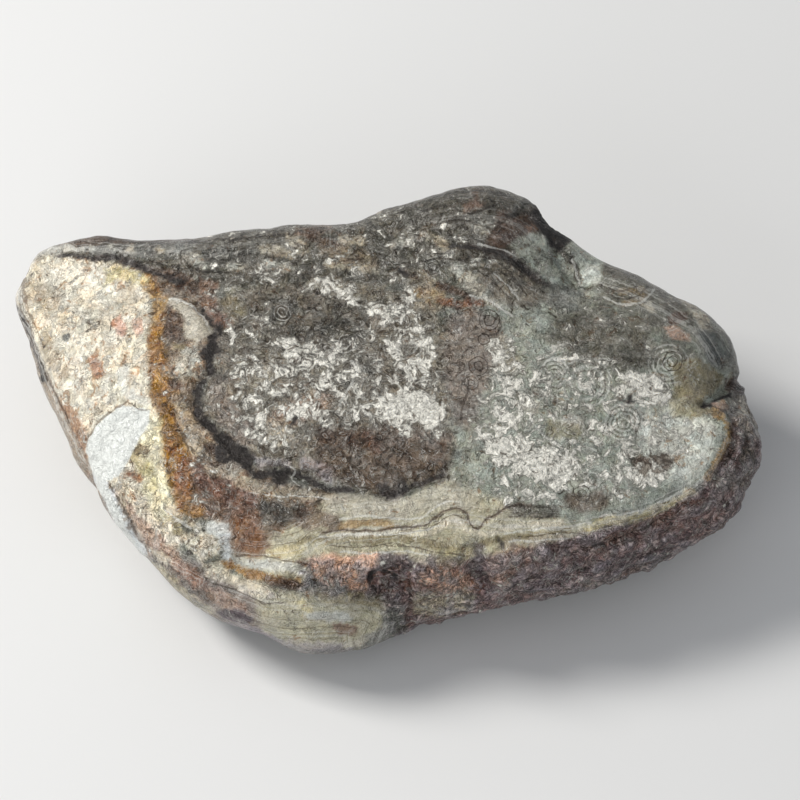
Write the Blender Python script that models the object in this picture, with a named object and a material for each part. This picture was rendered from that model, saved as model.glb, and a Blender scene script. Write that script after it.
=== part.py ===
"""Rough prairie agate: one weathered nodule, about 90 mm long, resting on the flat of its underside.

+X runs along the stone, +Y goes to the far side and +Z is up.  The origin is on the table, under the
middle of the stone's box.  Lengths are in millimetres until the mesh is written.
"""
import math

import bmesh
import bpy
import numpy as np
from mathutils import Vector, noise

MM = 0.001

# The stone's rim is drawn on a plane that faces the front and leans back, so that it is square to a
# line coming down on the stone at RIM_TILT above the table.
RIM_TILT = math.radians(55.0)
LEAN = math.cos(RIM_TILT)
STAND = math.sin(RIM_TILT)
RIM_MIDDLE_HEIGHT = 15.0

# Points round the rim, from the left end over the far side: across and up on the rim's plane, height
# over the table, fullness of the front from rim to face, and fullness of the underside.
# A fullness of 2 is round, and 4 is a flat face with a steep wall.
RIM = (
    (-45.4, 14.8, 11.0, 3.4, 2.6),
    (-44.2, 19.2, 13.0, 3.0, 2.4),
    (-41.0, 21.4, 15.6, 2.7, 2.3),
    (-37.0, 22.0, 18.0, 2.4, 2.3),
    (-30.2, 21.9, 19.8, 2.3, 2.3),
    (-24.4, 22.0, 21.2, 2.3, 2.3),
    (-13.4, 23.1, 22.8, 2.3, 2.3),
    (-5.1, 23.8, 23.6, 2.3, 2.3),
    (2.8, 26.0, 24.6, 2.3, 2.3),
    (8.0, 27.4, 25.4, 2.2, 2.3),
    (12.5, 27.6, 25.5, 2.2, 2.3),
    (15.8, 27.0, 25.0, 2.2, 2.3),
    (18.5, 25.3, 23.8, 2.2, 2.3),
    (20.7, 23.4, 22.4, 2.3, 2.3),
    (23.8, 21.8, 21.4, 2.4, 2.3),
    (26.6, 19.6, 20.4, 2.5, 2.3),
    (30.5, 17.2, 19.2, 2.6, 2.3),
    (34.5, 14.9, 18.0, 2.6, 2.3),
    (38.5, 12.0, 16.6, 2.7, 2.4),
    (42.1, 8.7, 15.0, 2.8, 2.4),
    (43.4, 4.5, 13.6, 3.0, 2.4),
    (46.2, 0.0, 11.6, 3.0, 2.5),
    (46.6, -4.8, 9.6, 3.0, 2.6),
    (44.6, -9.6, 7.8, 3.0, 2.7),
    (40.5, -13.2, 6.2, 3.0, 2.8),
    (36.0, -16.3, 5.2, 3.0, 2.8),
    (31.5, -18.4, 4.6, 3.0, 2.8),
    (26.9, -20.2, 4.2, 3.0, 2.8),
    (20.5, -21.8, 3.8, 3.0, 2.8),
    (14.5, -22.4, 3.6, 3.0, 2.8),
    (9.4, -23.4, 3.6, 3.0, 2.8),
    (3.6, -25.0, 3.6, 2.9, 2.8),
    (0.9, -27.7, 3.6, 2.8, 2.8),
    (-5.0, -28.4, 3.6, 2.7, 2.8),
    (-11.5, -26.9, 3.8, 2.6, 2.8),
    (-18.1, -25.0, 4.2, 2.6, 2.8),
    (-24.0, -21.6, 4.8, 2.6, 2.8),
    (-28.6, -16.4, 5.6, 2.6, 2.8),
    (-33.4, -10.9, 6.8, 2.8, 2.8),
    (-37.5, -3.6, 8.2, 3.0, 2.8),
    (-41.2, 4.1, 9.4, 3.2, 2.8),
    (-43.3, 9.3, 10.3, 3.4, 2.8),
)
CURVE_STEPS = 8
# Inwards of the rim its nicks die out: there the reach is averaged over this much of the round.
CALM_SPREAD = math.radians(36.0)
CALM_SAMPLES = 9
CALM_POWER = 4.0

# The two planes of the front: the height of each over the middle, and its rise to the right and to
# the far side.  They meet in a soft crest down the left third of the stone.
MAIN_FACE = (23.8, 0.02, 0.24)
LEFT_FACET = (33.6, 0.42, 0.13)
CREST_SOFTNESS = 1.6

# The underside is a shallow keel: how far it would reach below the table, how far it clears the table
# away from there, where its middle is across and up on the rim's plane, and the half length and half
# width of the patch that reaches the table.
KEEL_DEPTH = 3.5
KEEL_CLEARANCE = 2.5
KEEL_MIDDLE = (-3.0, -7.5)
KEEL_HALF = (22.0, 11.0)

# Lumps (rise above nought) and hollows (below) of the skin: across and up on the rim's plane, 1 for
# the front or -1 for the underside, how far it reaches, and its rise.
LUMPS = (
    # the knob on the far side, and the saddle that falls away to its right
    (11.5, 21.0, 1, 7.5, 2.4),
    (23.5, 17.5, 1, 4.5, -1.7),
    (18.5, 13.0, 1, 5.0, -0.9),
    # the lobe at the right, the nick under it and the knuckle below the nick
    (35.0, 10.5, 1, 8.0, 1.6),
    (41.3, 4.8, 1, 2.8, -2.2),
    (41.0, -2.5, 1, 4.5, 1.4),
    (36.0, 0.5, 1, 4.0, -0.8),
    # knuckles and dents along the wall that faces the front
    (38.5, -9.5, 1, 5.0, 0.9),
    (33.0, -12.5, 1, 3.0, -1.0),
    (27.5, -15.5, 1, 5.5, 0.7),
    (23.5, -16.0, 1, 2.6, -0.8),
    (18.0, -17.5, 1, 4.0, 0.8),
    (13.5, -20.5, 1, 3.0, 1.2),
    (10.8, -18.5, 1, 2.4, -2.0),
    (6.2, -18.5, 1, 3.6, 1.5),
    # the lobe at the front, the pit beside it and the broken hollow over it
    (-7.0, -22.5, 1, 6.5, 1.6),
    (0.9, -20.2, 1, 2.5, -4.2),
    (-5.0, -18.5, 1, 4.0, -1.4),
    # the bevelled wall at the front left
    (-15.0, -16.0, 1, 3.5, -0.8),
    (-22.0, -18.0, 1, 4.5, 1.0),
    (-27.5, -11.5, 1, 3.5, -0.8),
    (-31.5, -8.0, 1, 5.0, 0.6),
    # broad swells of the face
    (-3.0, 3.0, 1, 11.0, 0.8),
    (22.0, 3.0, 1, 10.0, 0.7),
    (-6.0, -7.0, 1, 7.0, -0.8),
    (-21.5, 9.0, 1, 5.0, 0.8),
    (-35.0, 12.0, 1, 6.0, 0.6),
    # the far wall and the underside
    (-24.0, 14.0, -1, 8.0, 2.2),
    (-33.0, 17.0, -1, 4.5, -1.6),
    (-12.0, 18.0, -1, 5.0, -2.2),
    (2.0, 17.0, -1, 6.0, 2.0),
    (11.0, 20.0, -1, 4.5, -2.0),
    (22.0, 14.0, -1, 7.0, 1.9),
    (32.0, 9.0, -1, 5.0, -1.8),
    (38.0, 0.0, -1, 5.0, 1.2),
    (-40.0, 10.0, -1, 5.0, 1.2),
)

# Worn walls and facets: the way each one faces, how far out it lies, and how softly its edge turns.
FACETS = (
    # the steep walls that face the front
    ((0.42, -0.9, 0.05), 29.6, 3.2),
    ((0.12, -0.98, 0.1), 23.8, 3.0),
    ((-0.5, -0.8, 0.35), 29.0, 3.0),
    # the far wall and the underside
    ((0.1, 1.0, -0.25), 28.0, 3.0),
    ((-0.6, 0.7, -0.5), 42.0, 4.0),
    ((-0.65, -0.1, -0.75), 38.0, 4.0),
    ((0.7, 0.15, -0.7), 34.5, 3.0),
    ((0.6, 0.75, -0.35), 34.0, 3.0),
)

# Small unevenness, as rise and width: gentle on the face, knobbly on the walls and the underside.
FACE_SWELL = (0.35, 13.0)
WALL_SWELL = (1.2, 8.0)
WALL_KNOBS = (0.7, 4.5)
# The skin counts as face where it looks this squarely along the line of RIM_TILT, and as wall below.
FACE_LIMIT = 0.80
WALL_LIMIT = 0.35

# The skin is a cube of this many squares a side, blown up into a ball before it takes its shape.
SQUARES = 28
# Points this near the table are set down on it, so that the cut leaves no slivers.
CUT_SNAP = 0.35
# Points this near the cut count as lying in it.
CUT_TOLERANCE = 0.0035

STONE_COLOUR = (0.33, 0.29, 0.24, 1.0)
STONE_ROUGHNESS = 0.42


def smooth_loop(points, steps):
    """Points along a closed smooth curve that passes through the given ones."""
    rows = np.array(points, dtype=float)
    before, after, beyond = np.roll(rows, 1, 0), np.roll(rows, -1, 0), np.roll(rows, -2, 0)
    loop = []
    for step in range(steps):
        t = step / steps
        loop.append(0.5 * (2.0 * rows + (after - before) * t
                           + (2.0 * before - 5.0 * rows + 4.0 * after - beyond) * t ** 2
                           + (3.0 * rows - before - 3.0 * after + beyond) * t ** 3))
    return np.stack(loop, 1).reshape(-1, rows.shape[1])


def depth_of_plane(across, up, plane):
    """Where a plane, given by its height and its two rises, lies along the line square to the rim."""
    height, rise_right, rise_far = plane
    over_middle = height - RIM_MIDDLE_HEIGHT + rise_right * across + up * (rise_far * STAND - LEAN)
    return over_middle / (STAND + rise_far * LEAN)


def soft_lower(first, second, softness):
    """The lower of two surfaces, with the crease where they meet rounded off."""
    gap = first - second
    return 0.5 * (first + second - np.sqrt(gap ** 2 + softness ** 2))


def keel_height(across, up):
    """Height of the underside over the table, below nought in the patch that will rest on it."""
    off_middle = (((across - KEEL_MIDDLE[0]) / KEEL_HALF[0]) ** 2
                  + ((up - KEEL_MIDDLE[1]) / KEEL_HALF[1]) ** 2)
    rise = KEEL_DEPTH + KEEL_CLEARANCE
    return rise * off_middle / (off_middle + KEEL_CLEARANCE / KEEL_DEPTH) - KEEL_DEPTH


def blank(directions):
    """The stone without its lumps and hollows: one point for each direction from its middle."""
    loop = smooth_loop(RIM, CURVE_STEPS)
    bearing = np.arctan2(loop[:, 1], loop[:, 0])
    order = np.argsort(bearing)
    angle = np.arctan2(directions[:, 1], directions[:, 0])

    def round_rim(values, turn=0.0):
        return np.interp(angle + turn, bearing[order], values[order], period=2.0 * math.pi)

    reach = np.hypot(loop[:, 0], loop[:, 1])
    turns = np.linspace(-0.5, 0.5, CALM_SAMPLES) * CALM_SPREAD
    calm = sum(round_rim(reach, turn) for turn in turns) / CALM_SAMPLES
    height, front, under = (round_rim(loop[:, column]) for column in (2, 3, 4))
    share = np.clip(np.hypot(directions[:, 0], directions[:, 1]), 0.0, 1.0)
    radius = calm + (round_rim(reach) - calm) * share ** CALM_POWER
    across = share * radius * np.cos(angle)
    up = share * radius * np.sin(angle)

    rim = (height - RIM_MIDDLE_HEIGHT - round_rim(reach) * np.sin(angle) * LEAN) / STAND
    face = soft_lower(depth_of_plane(across, up, MAIN_FACE),
                      depth_of_plane(across, up, LEFT_FACET), CREST_SOFTNESS)
    bottom = depth_of_plane(across, up, (keel_height(across, up), 0.0, 0.0))
    in_front = directions[:, 2] >= 0.0
    fullness = np.where(in_front, front, under)
    swell = (1.0 - share ** fullness) ** (1.0 / fullness)
    depth = rim + (np.where(in_front, face, bottom) - rim) * swell
    return np.stack((across, up * STAND - depth * LEAN,
                     RIM_MIDDLE_HEIGHT + up * LEAN + depth * STAND), 1)


def take_shape(skin, points):
    """Puts the skin's corners at the points, and gives the way each corner then faces."""
    for vertex, point in zip(skin.verts, points):
        vertex.co = point
    skin.normal_update()
    return np.array([tuple(vertex.normal) for vertex in skin.verts])


def add_lumps(points, normals, directions):
    """Raises and lowers the skin round each named spot, fading with the distance from it."""
    across = points[:, 0]
    up = points[:, 1] * STAND + (points[:, 2] - RIM_MIDDLE_HEIGHT) * LEAN
    rise = np.zeros(len(points))
    for lump_across, lump_up, side, reach, height in LUMPS:
        off_spot = np.hypot(across - lump_across, up - lump_up)
        spot = points[np.argmin(np.where(directions[:, 2] * side >= 0.0, off_spot, np.inf))]
        away = np.linalg.norm(points - spot, axis=1)
        rise += height * np.exp(-(away / reach) ** 2)
    return points + normals * rise[:, None]


def wear_facets(points):
    """Flattens the skin wherever it stands out past one of the worn facets."""
    for facing, distance, softness in FACETS:
        facing = np.array(facing) / np.linalg.norm(facing)
        outward = (points - (0.0, 0.0, RIM_MIDDLE_HEIGHT)) @ facing
        worn = soft_lower(outward, distance, softness) - outward
        points = points + worn[:, None] * facing
    return points


def unevenness(point, swell, start):
    """Smooth noise as tall and as wide as the swell says, different for each start."""
    rise, width = swell
    return rise * noise.noise(Vector(point) / width + Vector((start, 0.0, 0.0)))


def roughen(points, normals):
    """Adds the small unevenness, which grows from the face to the walls."""
    facing = normals @ np.array((0.0, -LEAN, STAND))
    wall = np.clip((FACE_LIMIT - facing) / (FACE_LIMIT - WALL_LIMIT), 0.0, 1.0)
    rise = []
    for point, share in zip(points, wall):
        knobbly = unevenness(point, WALL_SWELL, 20.0) + unevenness(point, WALL_KNOBS, 40.0)
        rise.append(unevenness(point, FACE_SWELL, 0.0) + knobbly * share)
    return points + normals * np.array(rise)[:, None]


def cut_resting_flat(skin):
    """Cuts the underside off at the table and closes the cut with one flat face."""
    for vertex in skin.verts:
        if abs(vertex.co.z) < CUT_SNAP:
            vertex.co.z = 0.0
    bmesh.ops.bisect_plane(skin, geom=skin.verts[:] + skin.edges[:] + skin.faces[:], dist=CUT_TOLERANCE,
                           plane_co=(0.0, 0.0, 0.0), plane_no=(0.0, 0.0, -1.0), clear_outer=True)
    lying = [face for face in skin.faces if max(corner.co.z for corner in face.verts) <= 0.0]
    bmesh.ops.delete(skin, geom=lying, context="FACES")
    bmesh.ops.delete(skin, geom=[edge for edge in skin.edges if edge.is_wire], context="EDGES")
    bmesh.ops.holes_fill(skin, edges=[edge for edge in skin.edges if edge.is_boundary])


def settle_over_origin(skin):
    """Moves the origin under the middle of the stone's box, and turns millimetres into metres."""
    corners = np.array([tuple(vertex.co) for vertex in skin.verts])
    middle = (corners.min(0) + corners.max(0)) / 2.0
    for vertex in skin.verts:
        vertex.co = Vector((vertex.co.x - middle[0], vertex.co.y - middle[1], vertex.co.z)) * MM


def clear_scene():
    for item in list(bpy.data.objects):
        bpy.data.objects.remove(item, do_unlink=True)


def stone_material():
    material = bpy.data.materials.new("agate")
    material.use_nodes = True
    surface = material.node_tree.nodes["Principled BSDF"]
    surface.inputs["Base Color"].default_value = STONE_COLOUR
    surface.inputs["Roughness"].default_value = STONE_ROUGHNESS
    surface.inputs["Metallic"].default_value = 0.0
    material.diffuse_color = STONE_COLOUR
    return material


def build_agate():
    skin = bmesh.new()
    bmesh.ops.create_cube(skin, size=2.0)
    bmesh.ops.subdivide_edges(skin, edges=skin.edges[:], cuts=SQUARES - 1, use_grid_fill=True)
    directions = np.array([tuple(vertex.co) for vertex in skin.verts])
    directions = np.tan(directions * math.pi / 4.0)
    directions /= np.linalg.norm(directions, axis=1)[:, None]

    points = wear_facets(blank(directions))
    points = add_lumps(points, take_shape(skin, points), directions)
    points = roughen(points, take_shape(skin, points))
    take_shape(skin, points)
    cut_resting_flat(skin)
    bmesh.ops.recalc_face_normals(skin, faces=skin.faces[:])
    settle_over_origin(skin)

    mesh = bpy.data.meshes.new("agate")
    skin.to_mesh(mesh)
    skin.free()
    stone = bpy.data.objects.new("agate", mesh)
    bpy.context.scene.collection.objects.link(stone)
    mesh.shade_smooth()
    mesh.materials.append(stone_material())
    return stone


clear_scene()
build_agate()
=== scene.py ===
import math

import bpy
import numpy as np
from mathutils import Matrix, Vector, noise


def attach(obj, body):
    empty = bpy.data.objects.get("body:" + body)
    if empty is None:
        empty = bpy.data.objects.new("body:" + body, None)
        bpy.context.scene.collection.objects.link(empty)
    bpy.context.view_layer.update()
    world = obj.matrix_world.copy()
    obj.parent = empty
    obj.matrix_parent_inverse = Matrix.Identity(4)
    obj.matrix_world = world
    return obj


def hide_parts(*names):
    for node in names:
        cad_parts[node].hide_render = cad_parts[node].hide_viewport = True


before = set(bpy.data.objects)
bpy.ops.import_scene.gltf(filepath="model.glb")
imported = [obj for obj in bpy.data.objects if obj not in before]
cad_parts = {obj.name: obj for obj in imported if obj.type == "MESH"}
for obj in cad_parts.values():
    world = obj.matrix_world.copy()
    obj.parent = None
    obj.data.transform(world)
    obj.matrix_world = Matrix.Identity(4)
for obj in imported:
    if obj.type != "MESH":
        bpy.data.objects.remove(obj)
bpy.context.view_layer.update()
print("stone's solid loaded")

# where the camera stands, and where the stone falls in its picture
look = {
    "elevation": math.radians(55.0),
    "distance": 0.80,
    "metresPerPixel": 0.0001206,  # at the stone's middle
    "picture": 800.0,  # pixels each way
    "outlineMiddle": (387.0, 420.0),  # the pixel in the middle of the stone's outline
    "sensor": 36.0,  # millimetres, as Blender's camera has it
    "nearest": 0.01,  # metres; what is nearer the camera isn't drawn
}

viewBack = np.array((0.0, -math.cos(look["elevation"]), math.sin(look["elevation"])))  # stone to camera
viewUp = np.array((0.0, math.sin(look["elevation"]), math.cos(look["elevation"])))
viewRight = np.array((1.0, 0.0, 0.0))


def deselectAll():
    if bpy.context.mode != "OBJECT":
        bpy.ops.object.mode_set(mode="OBJECT")
    bpy.ops.object.select_all(action="DESELECT")


def makeActive(thing):
    deselectAll()
    thing.select_set(True)
    bpy.context.view_layer.objects.active = thing


def applyModifier(thing, kind, **settings):
    modifier = thing.modifiers.new(kind.lower(), kind)
    for name, value in settings.items():
        setattr(modifier, name, value)
    makeActive(thing)
    bpy.ops.object.modifier_apply(modifier=modifier.name)


def placesOf(mesh):
    flat = np.empty(len(mesh.vertices) * 3)
    mesh.vertices.foreach_get("co", flat)
    return flat.reshape(-1, 3)


def normalsOf(mesh):
    flat = np.empty(len(mesh.vertices) * 3)
    mesh.vertex_normals.foreach_get("vector", flat)
    return flat.reshape(-1, 3)


def middleAlong(places, way):
    reach = places @ way
    return (reach.min() + reach.max()) / 2.0


def aimPoint():
    # the point of the stone that falls in the middle of the picture
    places = placesOf(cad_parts["agate"].data)
    half = look["picture"] / 2.0
    right = middleAlong(places, viewRight) + (half - look["outlineMiddle"][0]) * look["metresPerPixel"]
    up = middleAlong(places, viewUp) - (half - look["outlineMiddle"][1]) * look["metresPerPixel"]
    return viewRight * right + viewUp * up + viewBack * middleAlong(places, viewBack)


cameraPlace = aimPoint() + viewBack * look["distance"]


def addCamera():
    deselectAll()
    bpy.ops.object.camera_add(location=cameraPlace.tolist())
    camera = bpy.context.active_object
    camera.name = "camera"
    camera.rotation_euler = Vector(viewBack.tolist()).to_track_quat("Z", "Y").to_euler()
    camera.data.sensor_width = look["sensor"]
    camera.data.lens = look["sensor"] * look["distance"] / (look["picture"] * look["metresPerPixel"])
    camera.data.clip_start = look["nearest"]
    bpy.context.scene.camera = camera


def pixelsOf(places):
    # where the camera sees each place, in the picture's pixels
    offset = places - cameraPlace
    reach = look["distance"] / look["metresPerPixel"] / -(offset @ viewBack)
    half = look["picture"] / 2.0
    return np.stack((half + reach * (offset @ viewRight), half - reach * (offset @ viewUp)), 1)


addCamera()
print("camera set")

# the stone's skin before its relief: a dense copy of the solid's, finer where the camera sees it
skin = {
    "weld": 1e-6,  # metres
    "voxel": 0.0006,  # metres
    "smoothing": 0.5,  # how far each round takes a point towards its neighbours
    "evenOut": 26,  # rounds of smoothing that take the facets out
    "settle": 3,  # rounds after the front is divided finer
    "frontFacing": 0.02,  # how squarely a face looks at the camera to be divided
}


def bareSkin():
    stone = bpy.data.objects.new("agateStone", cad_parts["agate"].data.copy())
    bpy.context.scene.collection.objects.link(stone)
    stone.data.materials.clear()
    makeActive(stone)
    bpy.ops.object.mode_set(mode="EDIT")
    bpy.ops.mesh.select_all(action="SELECT")
    bpy.ops.mesh.remove_doubles(threshold=skin["weld"])
    bpy.ops.object.mode_set(mode="OBJECT")
    applyModifier(stone, "REMESH", mode="VOXEL", voxel_size=skin["voxel"])
    applyModifier(stone, "SMOOTH", factor=skin["smoothing"], iterations=skin["evenOut"])
    faces = stone.data.polygons
    normals = np.empty(len(faces) * 3)
    faces.foreach_get("normal", normals)
    faces.foreach_set("select", normals.reshape(-1, 3) @ viewBack > skin["frontFacing"])
    bpy.ops.object.mode_set(mode="EDIT")
    bpy.ops.mesh.select_mode(type="FACE")
    bpy.ops.mesh.subdivide(number_cuts=1)
    bpy.ops.object.mode_set(mode="OBJECT")
    applyModifier(stone, "SMOOTH", factor=skin["smoothing"], iterations=skin["settle"])
    return stone


stone = bareSkin()
print("skin made,", len(stone.data.vertices), "points")

# the stone's colours, each red, green and blue out of 255
palette = {
    "ivory": (242, 235, 218),
    "cream": (238, 228, 207),
    "paleYellow": (248, 240, 208),
    "straw": (222, 208, 158),
    "milk": (236, 239, 234),
    "ice": (226, 231, 232),
    "ochre": (184, 144, 86),
    "amber": (164, 118, 58),
    "orange": (150, 96, 50),
    "coral": (208, 142, 118),
    "rust": (132, 84, 60),
    "redBrown": (128, 98, 80),
    "drab": (138, 122, 104),
    "maroon": (126, 92, 78),
    "umber": (86, 64, 50),
    "black": (34, 31, 31),
    "seam": (50, 44, 42),
    "slate": (64, 64, 61),
    "steel": (110, 111, 107),
    "taupe": (126, 119, 106),
    "mauve": (138, 126, 118),
    "olive": (82, 78, 67),
    "gold": (146, 134, 100),
    "greenGrey": (116, 117, 107),
    "blueGrey": (172, 180, 168),
    "paleBlue": (246, 250, 240),
    "chalkWhite": (216, 214, 204),
    "bone": (198, 188, 168),
    "tan": (178, 160, 134),
    "pinkTan": (194, 158, 136),
    "pinkRed": (254, 204, 176),
    "plum": (152, 120, 120),
    "bruise": (84, 72, 80),
    "lilac": (176, 168, 178),
    "greyOlive": (198, 192, 164),
    "lens": (208, 202, 186),
    "glass": (70, 77, 75),
}

# the grain that some paints bring with them
paintGrain = {
    "black": {"chalk": 0.0, "wisp": 0.0, "gloss": -4.0},
    "seam": {"chalk": 0.05, "wisp": 0.1, "gloss": -1.0},
    "umber": {"chalk": 0.1, "wisp": 0.15},
    "glass": {"chalk": 0.0, "wisp": 0.0, "mottle": 0.35},
    "milk": {"chalk": 0.0, "wisp": 0.0, "ink": 0.0, "mottle": 0.12, "stain": 0.0},
    "ice": {"chalk": 0.0, "wisp": 0.1, "ink": 0.1, "mottle": 0.25, "stain": 0.0},
    "blueGrey": {"mottle": 0.65, "ink": 0.22},
    "paleBlue": {"mottle": 0.5, "ink": 0.12},
    "greyOlive": {"chalk": 0.10, "ink": 0.12, "mottle": 0.55, "stain": 0.04},
    "cream": {"mottle": 0.78},
    "ivory": {"mottle": 0.65},
    "paleYellow": {"chalk": 0.1, "ink": 0.15, "stain": 0.0},
    "straw": {"chalk": 0.1, "ink": 0.2, "stain": 0.05},
    "lens": {"chalk": 0.1, "wisp": 0.1, "ink": 0.1, "mottle": 0.35, "stain": 0.0},
    "bone": {"stain": 0.05},
    "tan": {"stain": 0.1},
    "lilac": {"stain": 0.0},
    "plum": {"stain": 0.0},
    "pinkRed": {"stain": 0.0, "ink": 0.15},
    "gold": {"stain": 0.02, "ink": 0.15, "mottle": 0.4, "chalk": 0.05},
    "steel": {"stain": 0.0},
}

# broad fields of colour and of grain: paint, amount, softness of the edge, and corners in pixels or the
# name of a field with the same corners
fields = {
    "far strip": ("olive", 1.0, 14, (
        20, 262, 60, 232, 137, 230, 249, 222, 345, 216, 410, 196, 491, 180, 530, 190, 548, 225, 520, 262,
        450, 262, 400, 285, 320, 280, 240, 284, 180, 276, 130, 262, 85, 255, 50, 262)),
    "knob": ("olive", 0.8, 14, (425, 195, 470, 182, 520, 186, 550, 215, 540, 240, 500, 245, 440, 225)),
    "cream facet": ("cream", 1.0, 9, (
        8, 300, 34, 266, 60, 257, 100, 258, 140, 268, 160, 276, 164, 300, 157, 340, 153, 380, 160, 420,
        166, 460, 168, 510, 186, 540, 160, 560, 130, 545, 100, 500, 60, 440, 30, 380)),
    "ridge ground": ("drab", 1.0, 8, (
        142, 268, 172, 276, 190, 286, 214, 306, 222, 335, 208, 372, 194, 396, 206, 420, 240, 455, 285, 485,
        335, 490, 330, 525, 270, 550, 238, 562, 212, 520, 180, 516, 168, 470, 160, 420, 150, 380, 148, 330,
        156, 300)),
    "amber band": ("amber", 0.9, 6, (
        140, 268, 152, 274, 160, 300, 164, 330, 166, 360, 170, 400, 182, 430, 196, 470, 200, 516, 176, 516,
        164, 470, 158, 430, 150, 390, 149, 340, 154, 305)),
    "plateau": ("taupe", 1.0, 10, (
        215, 300, 262, 285, 340, 280, 430, 300, 446, 330, 450, 380, 455, 430, 452, 470, 415, 482, 388, 496,
        350, 487, 310, 478, 262, 466, 232, 440, 205, 415, 199, 398, 214, 372, 219, 340)),
    "chalcedony": ("blueGrey", 0.9, 26, (
        455, 330, 520, 285, 590, 290, 650, 300, 705, 345, 735, 390, 728, 430, 702, 480, 640, 512, 590, 527,
        530, 530, 480, 510, 452, 470)),
    "laid bands": ("greyOlive", 1.0, 12, (
        235, 556, 300, 520, 330, 495, 390, 500, 452, 482, 500, 500, 560, 520, 600, 526, 560, 545, 480, 560,
        400, 562, 320, 560, 300, 580, 240, 575)),
    "front wall": ("plum", 0.9, 12, (
        300, 562, 400, 562, 480, 560, 560, 540, 640, 520, 700, 490, 735, 440, 732, 390, 790, 390, 790, 470,
        740, 540, 650, 590, 520, 625, 400, 670, 380, 610)),
    "front lobe": ("greyOlive", 0.95, 10, (
        225, 575, 300, 592, 335, 588, 380, 596, 406, 622, 392, 680, 330, 680, 255, 660, 200, 620)),
    "left wall": ("mauve", 0.9, 10, (
        112, 490, 140, 535, 190, 560, 255, 592, 262, 640, 190, 640, 120, 560, 90, 500)),
    "right lobe": ("greenGrey", 0.8, 14, (
        590, 262, 620, 258, 680, 285, 730, 330, 745, 385, 700, 350, 660, 330, 610, 300)),
    "pale chalcedony": ("paleBlue", 0.9, 18, (640, 412, 690, 408, 716, 425, 712, 462, 690, 482, 640, 470)),
    "upper slate": ("slate", 0.4, 22, (262, 300, 350, 290, 372, 320, 360, 360, 300, 362, 268, 330)),
    "maroon ground": ("redBrown", 0.75, 12, (
        188, 462, 215, 462, 250, 486, 262, 510, 262, 545, 240, 556, 218, 520, 192, 512)),
    "lower brown": ("umber", 0.55, 16, (
        312, 428, 385, 425, 452, 432, 450, 476, 412, 480, 386, 494, 352, 484, 318, 470)),
    "orb ground": ("mauve", 0.85, 12, (
        446, 318, 472, 304, 500, 320, 506, 345, 492, 372, 480, 410, 470, 430, 456, 425, 444, 380)),
    "flecked ground": ("olive", 0.8, 20, (
        555, 312, 600, 305, 650, 325, 662, 360, 630, 375, 580, 362, 550, 340)),
    "cream stain": ("stain", 0.16, 10, (
        8, 300, 34, 266, 60, 257, 100, 258, 140, 268, 160, 276, 164, 300, 157, 340, 153, 380, 160, 420,
        160, 500, 100, 500, 60, 440, 30, 380)),
    "amber stain": ("stain", 0.25, 12, "ridge ground"),
    "cream grain": ("ink", 0.10, 10, (
        20, 300, 60, 262, 140, 272, 155, 340, 150, 400, 110, 410, 85, 440, 60, 425)),
    "plateau chalk": ("chalk", 0.48, 24, (
        225, 330, 300, 300, 420, 300, 445, 380, 440, 440, 330, 430, 270, 460, 225, 420)),
    "plateau rings": ("rings", 0.75, 20, (250, 300, 350, 290, 440, 330, 440, 480, 330, 480, 250, 440)),
    "slate chalk": ("chalk", 0.12, 16, (268, 302, 350, 296, 364, 318, 352, 334, 318, 336, 280, 340)),
    "chalcedony chalk": ("chalk", 0.46, 30, (
        480, 380, 560, 340, 640, 370, 700, 400, 690, 470, 600, 515, 500, 510, 470, 450)),
    "chalcedony rings": ("rings", 0.6, 26, (500, 380, 560, 340, 650, 380, 650, 480, 560, 520, 480, 490)),
    "far strip chalk": ("chalk", 0.34, 14, (
        160, 240, 300, 232, 430, 205, 500, 215, 520, 260, 440, 270, 340, 290, 200, 276)),
    "wall coarseness": ("coarse", 1.0, 14, (
        112, 490, 180, 560, 262, 600, 310, 560, 400, 560, 480, 558, 560, 538, 640, 518, 700, 488, 735, 440,
        732, 380, 800, 380, 800, 480, 740, 560, 520, 640, 400, 660, 380, 600, 280, 590, 190, 640, 90, 540)),
    "left wall evenness": ("coarse", 0.22, 14, (
        100, 480, 150, 520, 200, 560, 262, 600, 262, 650, 190, 640, 90, 540)),
    "wall ink": ("ink", 0.12, 14, "front wall"),
}

# the courses that more than one marking follows, in pixels across and down
courses = {
    "pale strip": (98, 478, 108, 494, 116, 512, 127, 533, 142, 552),
    "knob line": (450, 246, 475, 247, 500, 252, 514, 260, 526, 270, 538, 282),
    "orange band": (342, 527, 362, 523, 380, 522, 392, 526),
    "dark band": (
        322, 532, 342, 529, 362, 531, 387, 529, 405, 527, 425, 526, 435, 517, 445, 510, 456, 508, 466, 513,
        471, 524, 478, 529, 486, 519, 494, 516, 502, 510, 516, 504, 530, 506),
    "brown line": (226, 563, 250, 572, 272, 579, 300, 584),
    "red freckles": (66, 412, 76, 430, 84, 446, 92, 468, 98, 488),
    "chalk middle": (392, 408, 412, 404, 430, 414),
    "chalk upper": (318, 284, 340, 290, 354, 300),
    "slit": (400, 270, 412, 276, 424, 278),
    "slit stone": (432, 267),
    "wall valley": (480, 548, 478, 570, 488, 590),
    "wall notch": (500, 540, 504, 548),
    "strip side": (108, 482, 116, 496, 124, 512, 136, 534),
    "amber fissure": (172, 415, 180, 430, 186, 446, 190, 458),
    "rim line left": (28, 330, 40, 366, 54, 398, 68, 424),
    "wall split": (556, 548, 590, 548, 626, 538, 664, 520),
}

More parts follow.
